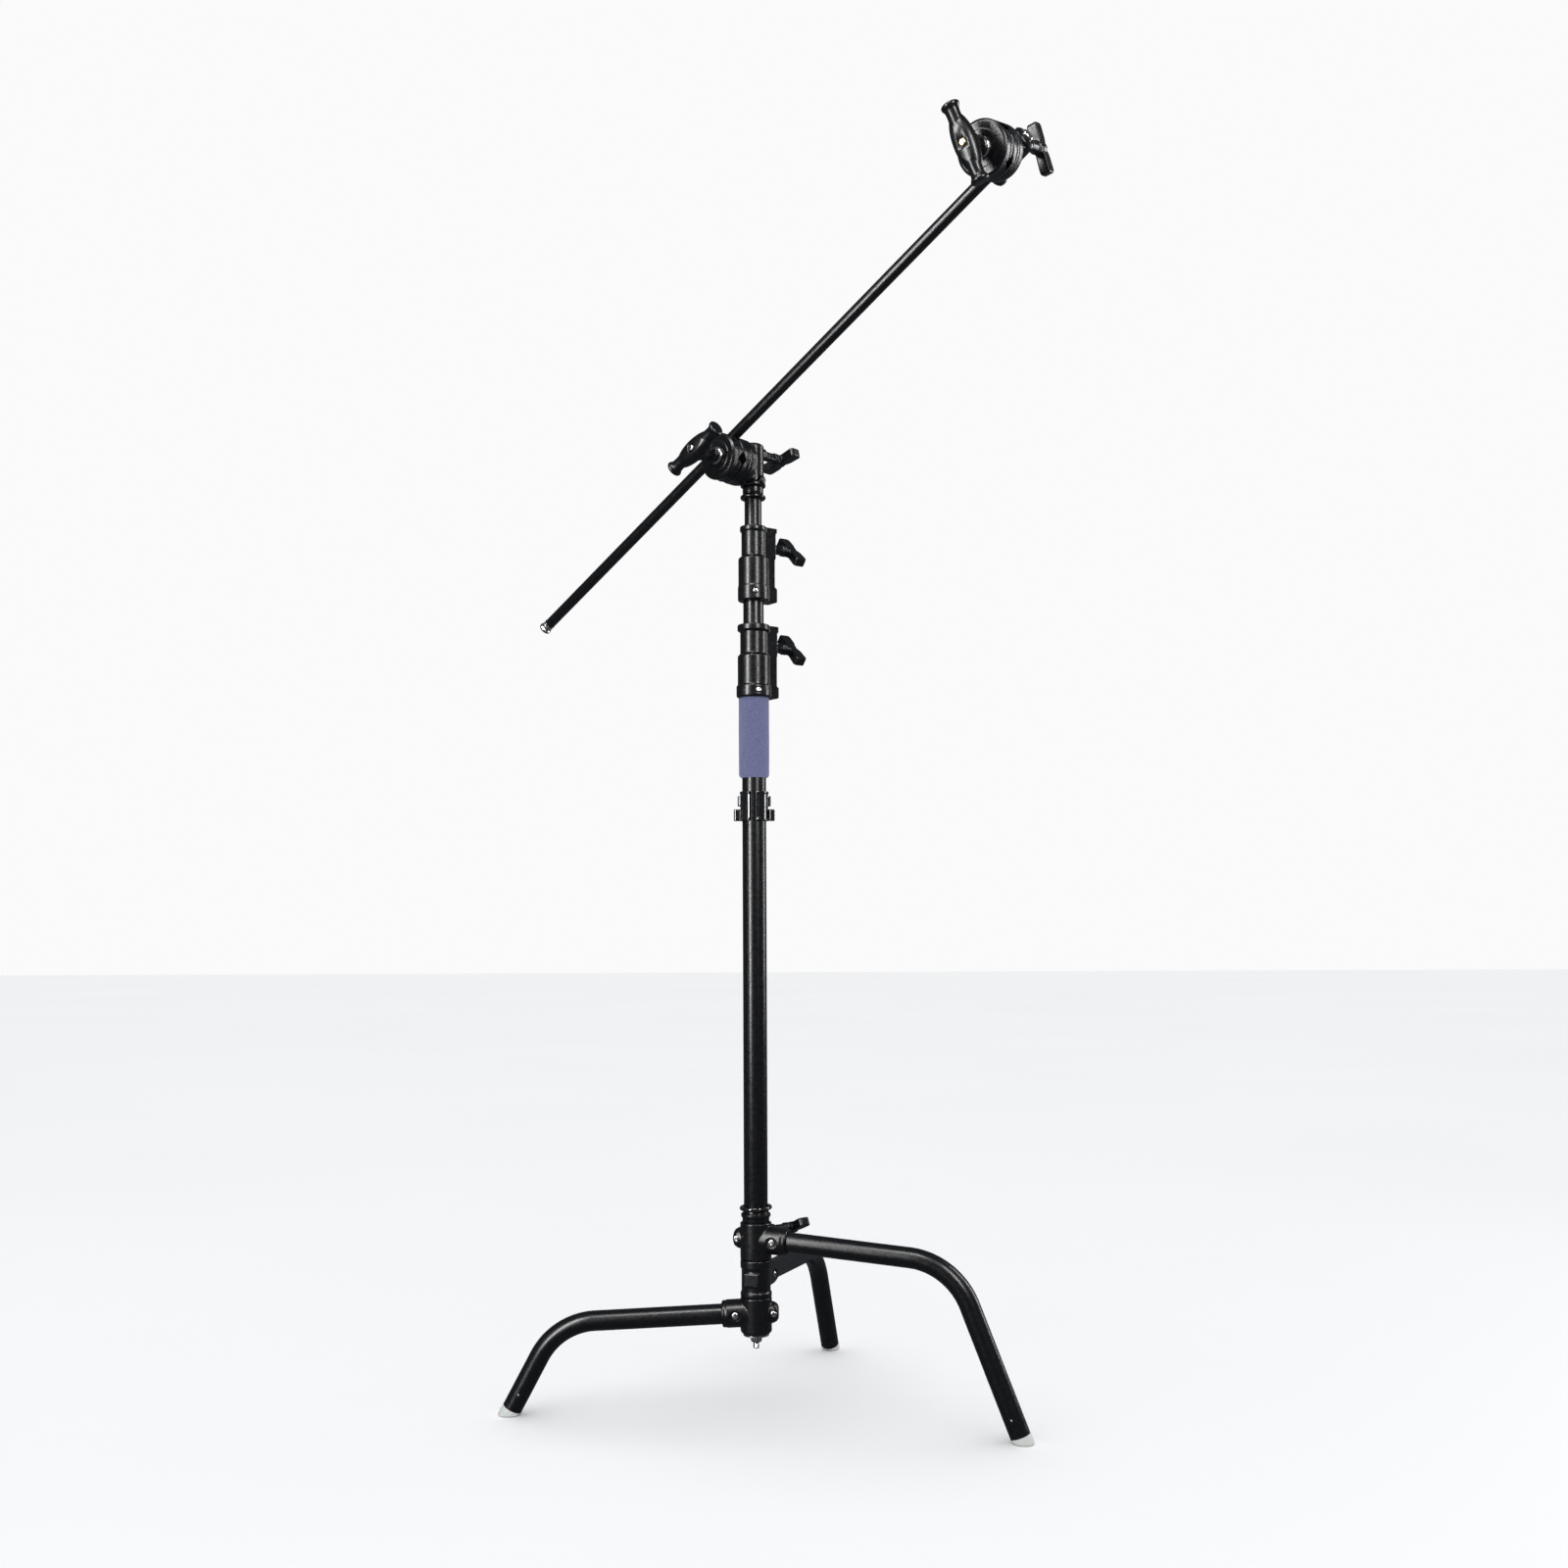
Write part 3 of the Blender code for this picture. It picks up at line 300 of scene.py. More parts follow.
def soften(profile, edge, closed=False, steps=3):
    """A profile with each corner turned into a short curve of about this size."""
    out = []
    for i, here in enumerate(profile):
        p = Vector(here)
        if not closed and i in (0, len(profile) - 1):
            out.append(p)
            continue
        back, on = Vector(profile[i - 1]) - p, Vector(profile[(i + 1) % len(profile)]) - p
        cut = min(edge, back.length * 0.45, on.length * 0.45)
        start, end = p + back.normalized() * cut, p + on.normalized() * cut
        for k in range(steps + 1):
            t = k / steps
            out.append(start * (1 - t) ** 2 + p * 2 * t * (1 - t) + end * t ** 2)
    return out


def circle(radius, height, count, sides=0):
    """A ring of points, or a six-sided one with this distance to its flats."""
    ring = []
    for k in range(count):
        turn = 2 * pi * k / count
        size = radius
        if sides:
            size = radius / cos((turn + pi / sides) % (2 * pi / sides) - pi / sides)
        ring.append((size * cos(turn), size * sin(turn), height))
    return ring


def lathe(name, profile, place=None, tube=False, edge=0.4 * MM, count=None):
    """A turned piece about its own Z from (radius, height) points, its corners eased."""
    count = count or ROUND
    if tube:
        points = soften(profile, edge, closed=True)
    else:
        points = soften([(0, profile[0][1]), *profile, (0, profile[-1][1])], edge)[1:-1]
    return loft(name, [circle(r, z, count) for r, z in points], place, tube)


def pipe(name, outer, inner, ends, place=None):
    """A tube with an open bore, between two heights."""
    low, high = ends
    return lathe(name, [(outer, high), (outer, low), (inner, low), (inner, high)], place, tube=True)


def prism(name, outline, half, place=None, edge=0.8 * MM):
    """An outline in X and Y, extruded from -half to half along Z, with eased rims."""
    outline = soften(outline, edge * 2, closed=True)
    middle = sum((Vector(p) for p in outline), Vector((0, 0))) / len(outline)
    rings = []
    for z, inset in ((-half, edge), (-half + edge * 0.3, edge * 0.3), (-half + edge, 0),
                     (half - edge, 0), (half - edge * 0.3, edge * 0.3), (half, edge)):
        rings.append([((p - middle) * (1 - inset / max((p - middle).length, edge)) + middle).to_3d()
                      + Vector((0, 0, z)) for p in outline])
    return loft(name, rings, place)


def box(name, low, high, place=None):
    """A block from its lowest corner to its highest."""
    ring = [(low[0], low[1]), (high[0], low[1]), (high[0], high[1]), (low[0], high[1])]
    return loft(name, [[(x, y, z) for x, y in ring] for z in (low[2], high[2])], place)


def settled(target):
    """The object with its modifiers applied."""
    bpy.context.view_layer.update()
    seen = target.evaluated_get(bpy.context.evaluated_depsgraph_get())
    mesh = bpy.data.meshes.new_from_object(seen)
    target.modifiers.clear()
    target.data = mesh
    return target


def joined(name, parts):
    """The parts as one mesh object."""
    shape = bmesh.new()
    for part in parts:
        shape.from_mesh(part.data)
        bpy.data.objects.remove(part, do_unlink=True)
    mesh = bpy.data.meshes.new(name)
    shape.to_mesh(mesh)
    shape.free()
    made = bpy.data.objects.new(name, mesh)
    bpy.context.collection.objects.link(made)
    return made


def cast(name, parts, voxel=0.7 * MM, easing=8):
    """Overlapping solids melted into one body with the soft fillets of a casting."""
    made = joined(name, parts)
    melt = made.modifiers.new("melt", "REMESH")
    melt.mode = "VOXEL"
    melt.voxel_size = voxel * VOXEL_GROWTH
    ease = made.modifiers.new("ease", "SMOOTH")
    ease.factor = 0.5
    ease.iterations = max(2, int(easing / VOXEL_GROWTH))
    return settled(made)


def cut(target, cutters):
    """The cutters taken out of the target, one by one."""
    for cutter in cutters:
        change = target.modifiers.new("cut", "BOOLEAN")
        change.operation = "DIFFERENCE"
        change.solver = "EXACT"
        change.object = cutter
        settled(target)
        bpy.data.objects.remove(cutter, do_unlink=True)
    return target


def along(direction, place=(0, 0, 0), side=(0, 0, 1)):
    """Axes at a place whose Z runs along a direction and whose X is nearest to side."""
    z = Vector(direction).normalized()
    x = Vector(side) - z * z.dot(Vector(side))
    if x.length < 1e-6:
        x = Vector((1, 0, 0)) - z * z.x
    x.normalize()
    return Matrix.Translation(Vector(place)) @ Matrix((x, z.cross(x), z)).transposed().to_4x4()


def heading(angle):
    """The level direction at an angle from +X."""
    return Vector((cos(angle), sin(angle), 0))


def turned(angle, place=(0, 0, 0)):
    """A frame at a place, turned about Z."""
    return Matrix.Translation(Vector(place)) @ Matrix.Rotation(angle, 4, "Z")


BODY_OF = {node: body for body, nodes in frame["record"]["behaviour"]["bodies"].items() for node in nodes}
SLOT_OF = {row["node"]: row["material_slot"] for row in frame["record"]["subparts"]}


def deliver(piece, node, look=None, sharp=32, extra=False):
    """Give the piece its coat and let it stand for its CAD node, or ride beside it."""
    piece.name = piece.data.name = "fine_" + (piece.name.split(".")[0] if extra else node)
    piece.data.shade_smooth()
    piece.data.set_sharp_from_angle(angle=radians(sharp))
    piece.data.materials.clear()
    piece.data.materials.append((look or COATS[SLOT_OF[node]])())
    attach(piece, BODY_OF[node])
    if not extra:
        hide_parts(node)
    return piece


# ---------------------------------------------------------------- screws, threads, knobs

def screw(node, place, inner, face, head_r, head_h=2.4 * MM, look=None):
    """A button-head screw along its frame's Z with a hexagon socket in its head."""
    shank, key = head_r * 0.55, head_r * 0.42
    rings = [circle(shank, inner, ROUND_SMALL), circle(shank, face, ROUND_SMALL)]
    profile = soften([(shank, face), (head_r, face), (head_r, face + head_h * 0.55),
                      (head_r * 0.72, face + head_h * 0.94), (key * 1.25, face + head_h)], 0.5 * MM)
    rings += [circle(r, z, 48) for r, z in profile[1:]]
    rings[:2] = [circle(shank, inner, 48), circle(shank, face, 48)]
    rings += [circle(key, face + head_h, 48, 6), circle(key * 0.92, face + head_h * 0.35, 48, 6)]
    return deliver(loft(node, rings, place), node, look)


def thread(name, radius, depth, pitch, ends, place, count=ROUND_SMALL):
    """A rod with a true screw thread, its crests fading at both ends."""
    low, high = ends
    steps = max(8, int((high - low) / pitch * 6))
    rings = []
    for i in range(steps + 1):
        z = low + (high - low) * i / steps
        fade = min(1, (z - low) / pitch, (high - z) / pitch)
        ring = []
        for k in range(count):
            wave = ((z / pitch - k / count) % 1) * 2 - 1
            size = radius - depth * (fade * abs(wave) + 1 - fade)
            turn = 2 * pi * k / count
            ring.append((size * cos(turn), size * sin(turn), z))
        rings.append(ring)
    return loft(name, rings, place)


def knob(name, place, tip, neck):
    """A cast two-winged knob: paddles with eased edges, a notch between them outside and a
    ringed collar back towards the stand. Local X runs outwards."""
    half, thick = KNOB_HALF / MM, KNOB_THICK / 2
    side = [(-7.2, 11), (-9, half - 3.4), (-6.4, half - 0.2), (7, half - 0.2), (9.3, half - 3.4),
            (9.1, 13), (8, 8), (5.6, 4)]
    outline = [(x, -y) for x, y in side] + [(x, y) for x, y in reversed(side)]
    wing = prism("wing", [(x * MM, y * MM) for x, y in outline], thick - 0.2 * MM, place, 1.3 * MM)
    out = place @ along((1, 0, 0))
    big, mid = KNOB_NECK_R, KNOB_NECK_R - 1.5 * MM
    profile = [(mid - 0.8 * MM, -neck), (mid, 0.8 * MM - neck), (mid, -19 * MM),
               (big, -18 * MM), (big, -16 * MM), (mid + 0.2 * MM, -15.2 * MM),
               (mid + 0.2 * MM, -14.2 * MM), (big, -13.4 * MM), (big, -11.4 * MM),
               (mid + 0.6 * MM, -10.4 * MM), (big, -6 * MM), (big, 3 * MM), (5.4 * MM, 6.4 * MM)]
    collar = lathe("collar", profile, out, edge=0.6 * MM, count=ROUND_SMALL)
    body = cast(name, [wing, collar], 0.42 * MM, 8)
    cut(body, [lathe("bore", [(STUD_R + 0.4 * MM, -neck - 4 * MM), (STUD_R + 0.4 * MM, -1 * MM)], out,
                     count=ROUND_SMALL)])
    deliver(body, name, sharp=CAST_SHARP)
    stud = thread(name + "_stud", STUD_R, 0.45 * MM, 1.25 * MM, (-tip, -1.6 * MM), out)
    deliver(stud, name + "_stud", sharp=20)


def knob_seat(height, reach, angle, roll):
    """A knob's frame: reach out from the column at a height, rolled about its screw."""
    spot = turned(angle, (0, 0, height)) @ Matrix.Translation((reach, 0, 0))
    return spot @ Matrix.Rotation(roll, 4, "X")


# ---------------------------------------------------------------- base

def leg_path(foot_radius, height):
    """The leg's centre line in its own upright plane, as (reach, height, lean) points."""
    start = SOCKET_FLOOR + GAP
    corner = (LEG_CORNER, height - LEG_CORNER * tan(LEG_SLOPE))
    drop = atan2(corner[1], foot_radius - corner[0])
    bend = drop - LEG_SLOPE
    reach = LEG_BEND * tan(bend / 2)
    first = (corner[0] - reach * cos(LEG_SLOPE), corner[1] + reach * sin(LEG_SLOPE))
    centre = (first[0] - LEG_BEND * sin(LEG_SLOPE), first[1] - LEG_BEND * cos(LEG_SLOPE))
    path = [(start, height - start * tan(LEG_SLOPE), LEG_SLOPE)]
    steps = 36
    for i in range(steps + 1):
        lean = LEG_SLOPE + bend * i / steps
        path.append((centre[0] + LEG_BEND * sin(lean), centre[1] + LEG_BEND * cos(lean), lean))
    path.append((foot_radius - FOOT_TOP / tan(drop), FOOT_TOP, drop))
    return path


def across(point, radius, count=ROUND):
    """A ring square to the leg at a point of its centre line."""
    reach, height, lean = point
    return [(reach + radius * cos(2 * pi * k / count) * sin(lean), radius * sin(2 * pi * k / count),
             height + radius * cos(2 * pi * k / count) * cos(lean)) for k in range(count)]


def leg(side, place):
    """A bent leg tube, the pale pad in its end and the pin that holds the pad."""
    height, foot_radius = LEGS[side][2], LEGS[side][4]
    path = leg_path(foot_radius, height)
    inner, eased = LEG_R - LEG_WALL, 0.4 * MM
    reach, top, lean = path[-1]
    down = (cos(lean), -sin(lean))

    def at(distance):
        return (reach + distance * down[0], top + distance * down[1], lean)

    rings = [across(p, LEG_R) for p in path[:-1]]
    rings += [across(at(-eased), LEG_R), across(at(0), LEG_R - eased)]
    rings += [across(p, inner) for p in reversed(path)]
    deliver(loft("leg", rings, place, tube=True), "leg_tube_" + side)
    plug, pad = inner - GAP, LEG_R + 0.5 * MM
    rings = [across(at(-14 * MM), plug), across(at(GAP), plug), across(at(GAP), pad - eased),
             across(at(GAP + eased), pad), across(at(GAP + 1.6 * MM), pad)]
    low = at(top / sin(lean))[0]
    slant = pad / sin(lean)
    for level, grow in ((3.2, 1.0), (2.0, 0.99), (1.1, 0.965), (0.4, 0.92), (0.0, 0.86)):
        middle = low - level * MM / tan(lean)
        rings.append([(middle + slant * grow * cos(2 * pi * k / ROUND), pad * grow * sin(2 * pi * k / ROUND),
                       level * MM) for k in range(ROUND)])
    deliver(loft("pad", rings, place), "foot_pad_" + side)
    x, z, _ = at(-26 * MM)
    pin = along((0, LEGS[side][5], 0), (x, 0, z))
    rivet = lathe("pad_pin_" + side, [(1.9 * MM, LEG_R - 1.2 * MM), (1.9 * MM, LEG_R + 0.1 * MM),
                                      (1.1 * MM, LEG_R + 0.45 * MM)], place @ pin, count=24)
    deliver(rivet, "leg_tube_" + side, steel, extra=True)


def hub(side, stand):
    """A leg hub with its socket, its lug or pad, a boss for the knob's stud on the right one, its screws and
    its leg.
    """
    low, high, height, angle, _, screw_side = LEGS[side]
    place = stand @ turned(angle)
    chamfer = 4 * MM if side == "left" else 0.8 * MM
    profile = [(HUB_R - chamfer, low), (HUB_R, low + chamfer)]
    if side == "back":
        relief = HUB_R - 1.6 * MM
        profile += [(HUB_R, low + 7 * MM), (relief, low + 8 * MM), (relief, high - 13 * MM),
                    (HUB_R, high - 12 * MM)]
    profile += [(HUB_R, high - 0.8 * MM), (HUB_R - 0.8 * MM, high)]
    tilt = place @ along((cos(LEG_SLOPE), 0, -sin(LEG_SLOPE)), (0, 0, height))
    level = place @ along((-1, 0, 0), (0, 0, height))
    parts = [lathe("body", profile, place),
             lathe("socket", [(SOCKET_R, -2 * MM), (SOCKET_R, SOCKET_REACH - 7 * MM),
                              (SOCKET_R - 0.9 * MM, SOCKET_REACH - 6.2 * MM),
                              (SOCKET_R - 0.9 * MM, SOCKET_REACH - 1.5 * MM),
                              (SOCKET_R - 2.2 * MM, SOCKET_REACH)], tilt)]
    if side == "back":
        parts.append(box("pad", (-HUB_R, -11 * MM, low + 17 * MM), (0, 11 * MM, high - 18 * MM), place))
    else:
        parts.append(lathe("lug", [(LUG_R, -2 * MM), (LUG_R, LUG_REACH - 7 * MM),
                                   (LUG_R - 3 * MM, LUG_REACH - 2 * MM), (LUG_R - 7 * MM, LUG_REACH)], level))
    boss_axis = stand @ along(heading(KNOB_ANGLE), (0, 0, KNOB_BASE_Z))
    if side == "right":
        boss = [(9 * MM, 5 * MM), (9 * MM, HUB_BOSS - 2 * MM), (7.5 * MM, HUB_BOSS)]
        parts.append(lathe("boss", boss, boss_axis))
    body = cast("hub", parts, 0.7 * MM, 10)
    cuts = [lathe("bore", [(HUB_BORE, low - MM), (HUB_BORE, high + MM)], place),
            lathe("leg_bore", [(LEG_R + GAP, SOCKET_FLOOR), (LEG_R + GAP, SOCKET_REACH - 1.2 * MM),
                               (LEG_R + 2 * MM, SOCKET_REACH + MM)], tilt)]
    spots = {"leg_screw_": (30 * MM, 18.0 * MM, 3.2 * MM, 8.6 * MM, 5.2 * MM, 15.6 * MM),
             "lug_screw_": (-26 * MM, 12.5 * MM, 3.2 * MM, 5.6 * MM, 4.8 * MM, 5.0 * MM)}
    if side == "back":
        del spots["lug_screw_"]
    for label, (reach, floor, hole, recess, head, inner) in spots.items():
        drop = reach * tan(LEG_SLOPE) * (reach > 0)
        spot = place @ along((0, screw_side, 0), (reach, 0, height - drop))
        cuts.append(lathe("hole", [(hole, inner - 1.5 * MM), (hole, floor + MM)], spot, count=ROUND_SMALL))
        cuts.append(lathe("recess", [(recess, floor), (recess, SOCKET_R - 1.2 * MM),
                                     (recess + 1.6 * MM, SOCKET_R + MM)], spot, count=ROUND_SMALL))
        screw(label + side, spot, inner, floor + GAP, head)
    if side == "right":
        cuts.append(lathe("stud_hole", [(STUD_R + GAP, 4 * MM), (STUD_R + GAP, 36 * MM)], boss_axis,
                          count=ROUND_SMALL))
    deliver(cut(body, cuts), HUB_NAMES[side], sharp=CAST_SHARP)
    leg(side, place)


def base(stand):
    """Centre post, bolt, washer, cap nut, hubs, legs and knob."""
    post = lathe("post", [
        (18.9 * MM, 302 * MM), (18.9 * MM, 299.5 * MM), (21.6 * MM, 298 * MM), (21.6 * MM, 294 * MM),
        (19.8 * MM, 292 * MM), (19.8 * MM, 285.7 * MM), (POST_R, 285.7 * MM), (POST_R, 123 * MM),
        (5.2 * MM, 123 * MM), (5.2 * MM, 139 * MM), (POST_BORE, 139 * MM), (POST_BORE, 287 * MM),
        (17.9 * MM, 287 * MM), (17.9 * MM, 302 * MM)], stand, tube=True, edge=0.8 * MM)
    hole = lathe("hole", [(STUD_R + GAP, 9 * MM), (STUD_R + GAP, 20 * MM)],
                 stand @ along(heading(KNOB_ANGLE), (0, 0, KNOB_BASE_Z)), count=ROUND_SMALL)
    deliver(cut(post, [hole]), "centre_post")
    bolt = joined("bolt", [thread("shank", 4.6 * MM, 0.45 * MM, 1.5 * MM, (100.2 * MM, 139.3 * MM), stand)])
    head = loft("head", [circle(8.6 * MM, 139.3 * MM, 48, 6), circle(8.6 * MM, 145 * MM, 48, 6),
                         circle(8.0 * MM, 146 * MM, 48, 6)], stand)
    deliver(joined("bolt", [bolt, head]), "base_bolt", sharp=20)
    deliver(pipe("washer", 19.0 * MM, 5.2 * MM, (119.4 * MM, 121.2 * MM), stand), "base_washer")
    flats = 8.3 * MM
    rings = [circle(5.0 * MM, z * MM, 48) for z in (119.1, 109.4)]
    rings += [circle(r * MM, z * MM, 48) for r, z in ((6.2, 109.4), (7.6, 110.6), (8.1, 112))]
    rings += [circle(flats, z * MM, 48, 6) for z in (112.8, 118.4)] + [circle(8.1 * MM, 119.1 * MM, 48)]
    deliver(loft("nut", rings, stand, tube=True), "base_nut", sharp=25)
    for side in LEGS:
        hub(side, stand)
    knob("knob_base", stand @ knob_seat(KNOB_BASE_Z, KNOB_REACH, KNOB_ANGLE, radians(-24)), 55.2 * MM,
         KNOB_REACH - HUB_BOSS - MM)


# ---------------------------------------------------------------- column

def clamp_ring(radius, reach, half, height):
    """A circle with a square-ended lobe towards the knob, and the angles of its points."""
    corner, root = atan2(half, reach), asin(half / radius)
    count = 64
    around = [root + (2 * pi - 2 * root) * k / count for k in range(count + 1)]
    side = [corner + (root - corner) * k / 4 for k in range(5)]
    face = [corner * k / 3 for k in range(3)]
    angles = face + side[:-1] + around + [-a for a in reversed(side[:-1])] + [-a for a in reversed(face[1:])]
    ring = []
    for turn in angles:
        lobe = min(reach / cos(turn), half / max(abs(sin(turn)), 1e-9)) if cos(turn) > 0.1 else 0
        size = lobe if abs(turn) < root - 1e-6 else radius
        ring.append((size * cos(turn), size * sin(turn), height))
    return ring, angles


def casting(name, stand, levels, bores, knob_z, knob_roll, screw_at):
    """A clamp casting from outer (height, radius, reach) levels and (height, bore) levels."""
    place = stand @ turned(KNOB_ANGLE)
    half = 11.5 * MM
    blank = loft("blank", [clamp_ring(r, reach, half, z)[0] for z, r, reach in levels], place)
    cheek = lathe("cheek", [(9.6 * MM, 22 * MM), (9.6 * MM, levels[3][2] + 0.6 * MM),
                            (8.6 * MM, levels[3][2] + 1.4 * MM)],
                  place @ along((1, 0, 0), (0, 0, knob_z)), count=ROUND_SMALL)
    body = cast("casting", [blank, cheek], 0.65 * MM, 8)
    pairs = [(r, z) for z, r in bores]
    tool = [(pairs[0][0] + 0.6 * MM, pairs[0][1] - MM), (pairs[0][0], pairs[0][1] + 0.4 * MM), pairs[1],
            pairs[2], (pairs[3][0], pairs[3][1] - 0.4 * MM), (pairs[3][0] + 0.6 * MM, pairs[3][1] + MM)]
    out = place @ along((1, 0, 0), (0, 0, knob_z))
    turn, height, wall, inner = screw_at
    spot = place @ along(heading(turn - KNOB_ANGLE), (0, 0, height))
    cut(body, [lathe("bore", tool, place, edge=0.05 * MM),
               box("pocket", (9 * MM, -6.6 * MM, knob_z - 9 * MM),
                   (26 * MM, 6.6 * MM, knob_z + 9 * MM), place),
               lathe("stud_hole", [(STUD_R + GAP, 24 * MM), (STUD_R + GAP, 42 * MM)], out,
                     count=ROUND_SMALL),
               lathe("tap", [(2.5 * MM, inner - MM), (2.5 * MM, wall)], spot, count=ROUND_SMALL),
               lathe("recess", [(4.4 * MM, wall - 1.4 * MM), (4.4 * MM, wall - 0.3 * MM),
                                (5.4 * MM, wall + MM)], spot, count=ROUND_SMALL)])
    deliver(body, name, sharp=CAST_SHARP)
    shoe_face = bores[-1][1] + 0.05 * MM
    shoe = box("shoe", (shoe_face, -6.2 * MM, knob_z - 8.6 * MM),
               (25.6 * MM, 6.2 * MM, knob_z + 8.6 * MM), place)
    ease = shoe.modifiers.new("ease", "BEVEL")
    ease.width, ease.segments = 0.6 * MM, 3
    deliver(settled(shoe), name + "_shoe")
    screw(name + "_screw", spot, inner, wall - 1.1 * MM, 3.8 * MM)
    knob("knob_" + name, stand @ knob_seat(knob_z, KNOB_REACH, KNOB_ANGLE, knob_roll), KNOB_REACH - 26.2 * MM,
         KNOB_REACH - levels[4][2] - 2.2 * MM)


def band(name, place, centre, radii, turns, ends, count=24):
    """A curved strip with eased long edges, round a centre on the X axis."""
    section = soften([(radii[0], ends[0]), (radii[1], ends[0]), (radii[1], ends[1]), (radii[0], ends[1])],
                     0.7 * MM, closed=True)
    rings = []
    for i in range(count + 1):
        turn = turns[0] + (turns[1] - turns[0]) * i / count
        rings.append([(centre + r * cos(turn), r * sin(turn), z) for r, z in section])
    return loft(name, rings, place)


def clip_ring(stand):
    """A snap ring round the base tube with an open hook low on each side and a tab above."""
    low, high = 873 * MM, 916 * MM
    steps = 72
    parts = [band("ring", stand, 0, (18.0 * MM, 20.4 * MM), (radians(-82), radians(252)), (low, high), steps),
             band("lip", stand, 0, (18.0 * MM, 21.2 * MM), (radians(-78), radians(248)),
                  (high - 3.4 * MM, high), steps),
             band("foot", stand, 0, (18.0 * MM, 21.2 * MM), (radians(-78), radians(248)),
                  (low, low + 3.2 * MM), steps)]
    for side, turns in ((-1, (-140, 140)), (1, (40, 320))):
        parts.append(band("hook", stand, side * 25.6 * MM, (3.4 * MM, 6.0 * MM),
                          [radians(t) for t in turns], (low + 0.2 * MM, low + 17 * MM)))
        tab = [(side * x * MM, y * MM)
               for x, y in ((19, -5.5), (23.6, -4.2), (24.6, 0), (23.6, 4.2), (19, 5.5))]
        middle = stand @ Matrix.Translation((0, 0, high - 14 * MM))
        parts.append(prism("tab", tab, 7.5 * MM, middle, 0.8 * MM))
    ring = cast("clip", parts, 0.5 * MM, 4)
    deliver(ring, "clip_ring", sharp=45)


def sleeve(stand):
    """The foam sleeve: slightly crowned and uneven, with rounded ends, tight on the tube."""
    low, high, inner = 936 * MM, 1053.6 * MM, 17.8 * MM
    count, steps = ((128, 150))
    outer = []
    for i in range(steps + 1):
        share = i / steps
        z = low + 0.3 * MM + (high - low - 0.3 * MM) * share
        foot = max(0, 1 - (z - low) / (5.5 * MM))
        top = max(0, 1 - (high - z) / (1.4 * MM))
        crown = 0.18 * MM * sin(pi * share)
        outer.append((22.15 * MM + crown - 3.6 * MM * foot ** 2.4 - 0.9 * MM * top ** 2, z))
    rings = []
    for r, z in outer:
        ring = []
        for k in range(count):
            turn = 2 * pi * k / count
            swell = noise.noise(Vector((cos(turn) * 1.3, sin(turn) * 1.3, z * 38))) * 0.14 * MM
            fine = noise.noise(Vector((cos(turn) * 14, sin(turn) * 14, z * 600))) * 0.03 * MM
            ring.append(((r + swell + fine) * cos(turn), (r + swell + fine) * sin(turn), z))
        rings.append(ring)
    rings = [circle(inner, low, count)] + rings + [circle(21.2 * MM, high, count), circle(inner, high, count)]
    made = deliver(loft("sleeve", rings, stand, tube=True), "foam_sleeve", sharp=60)


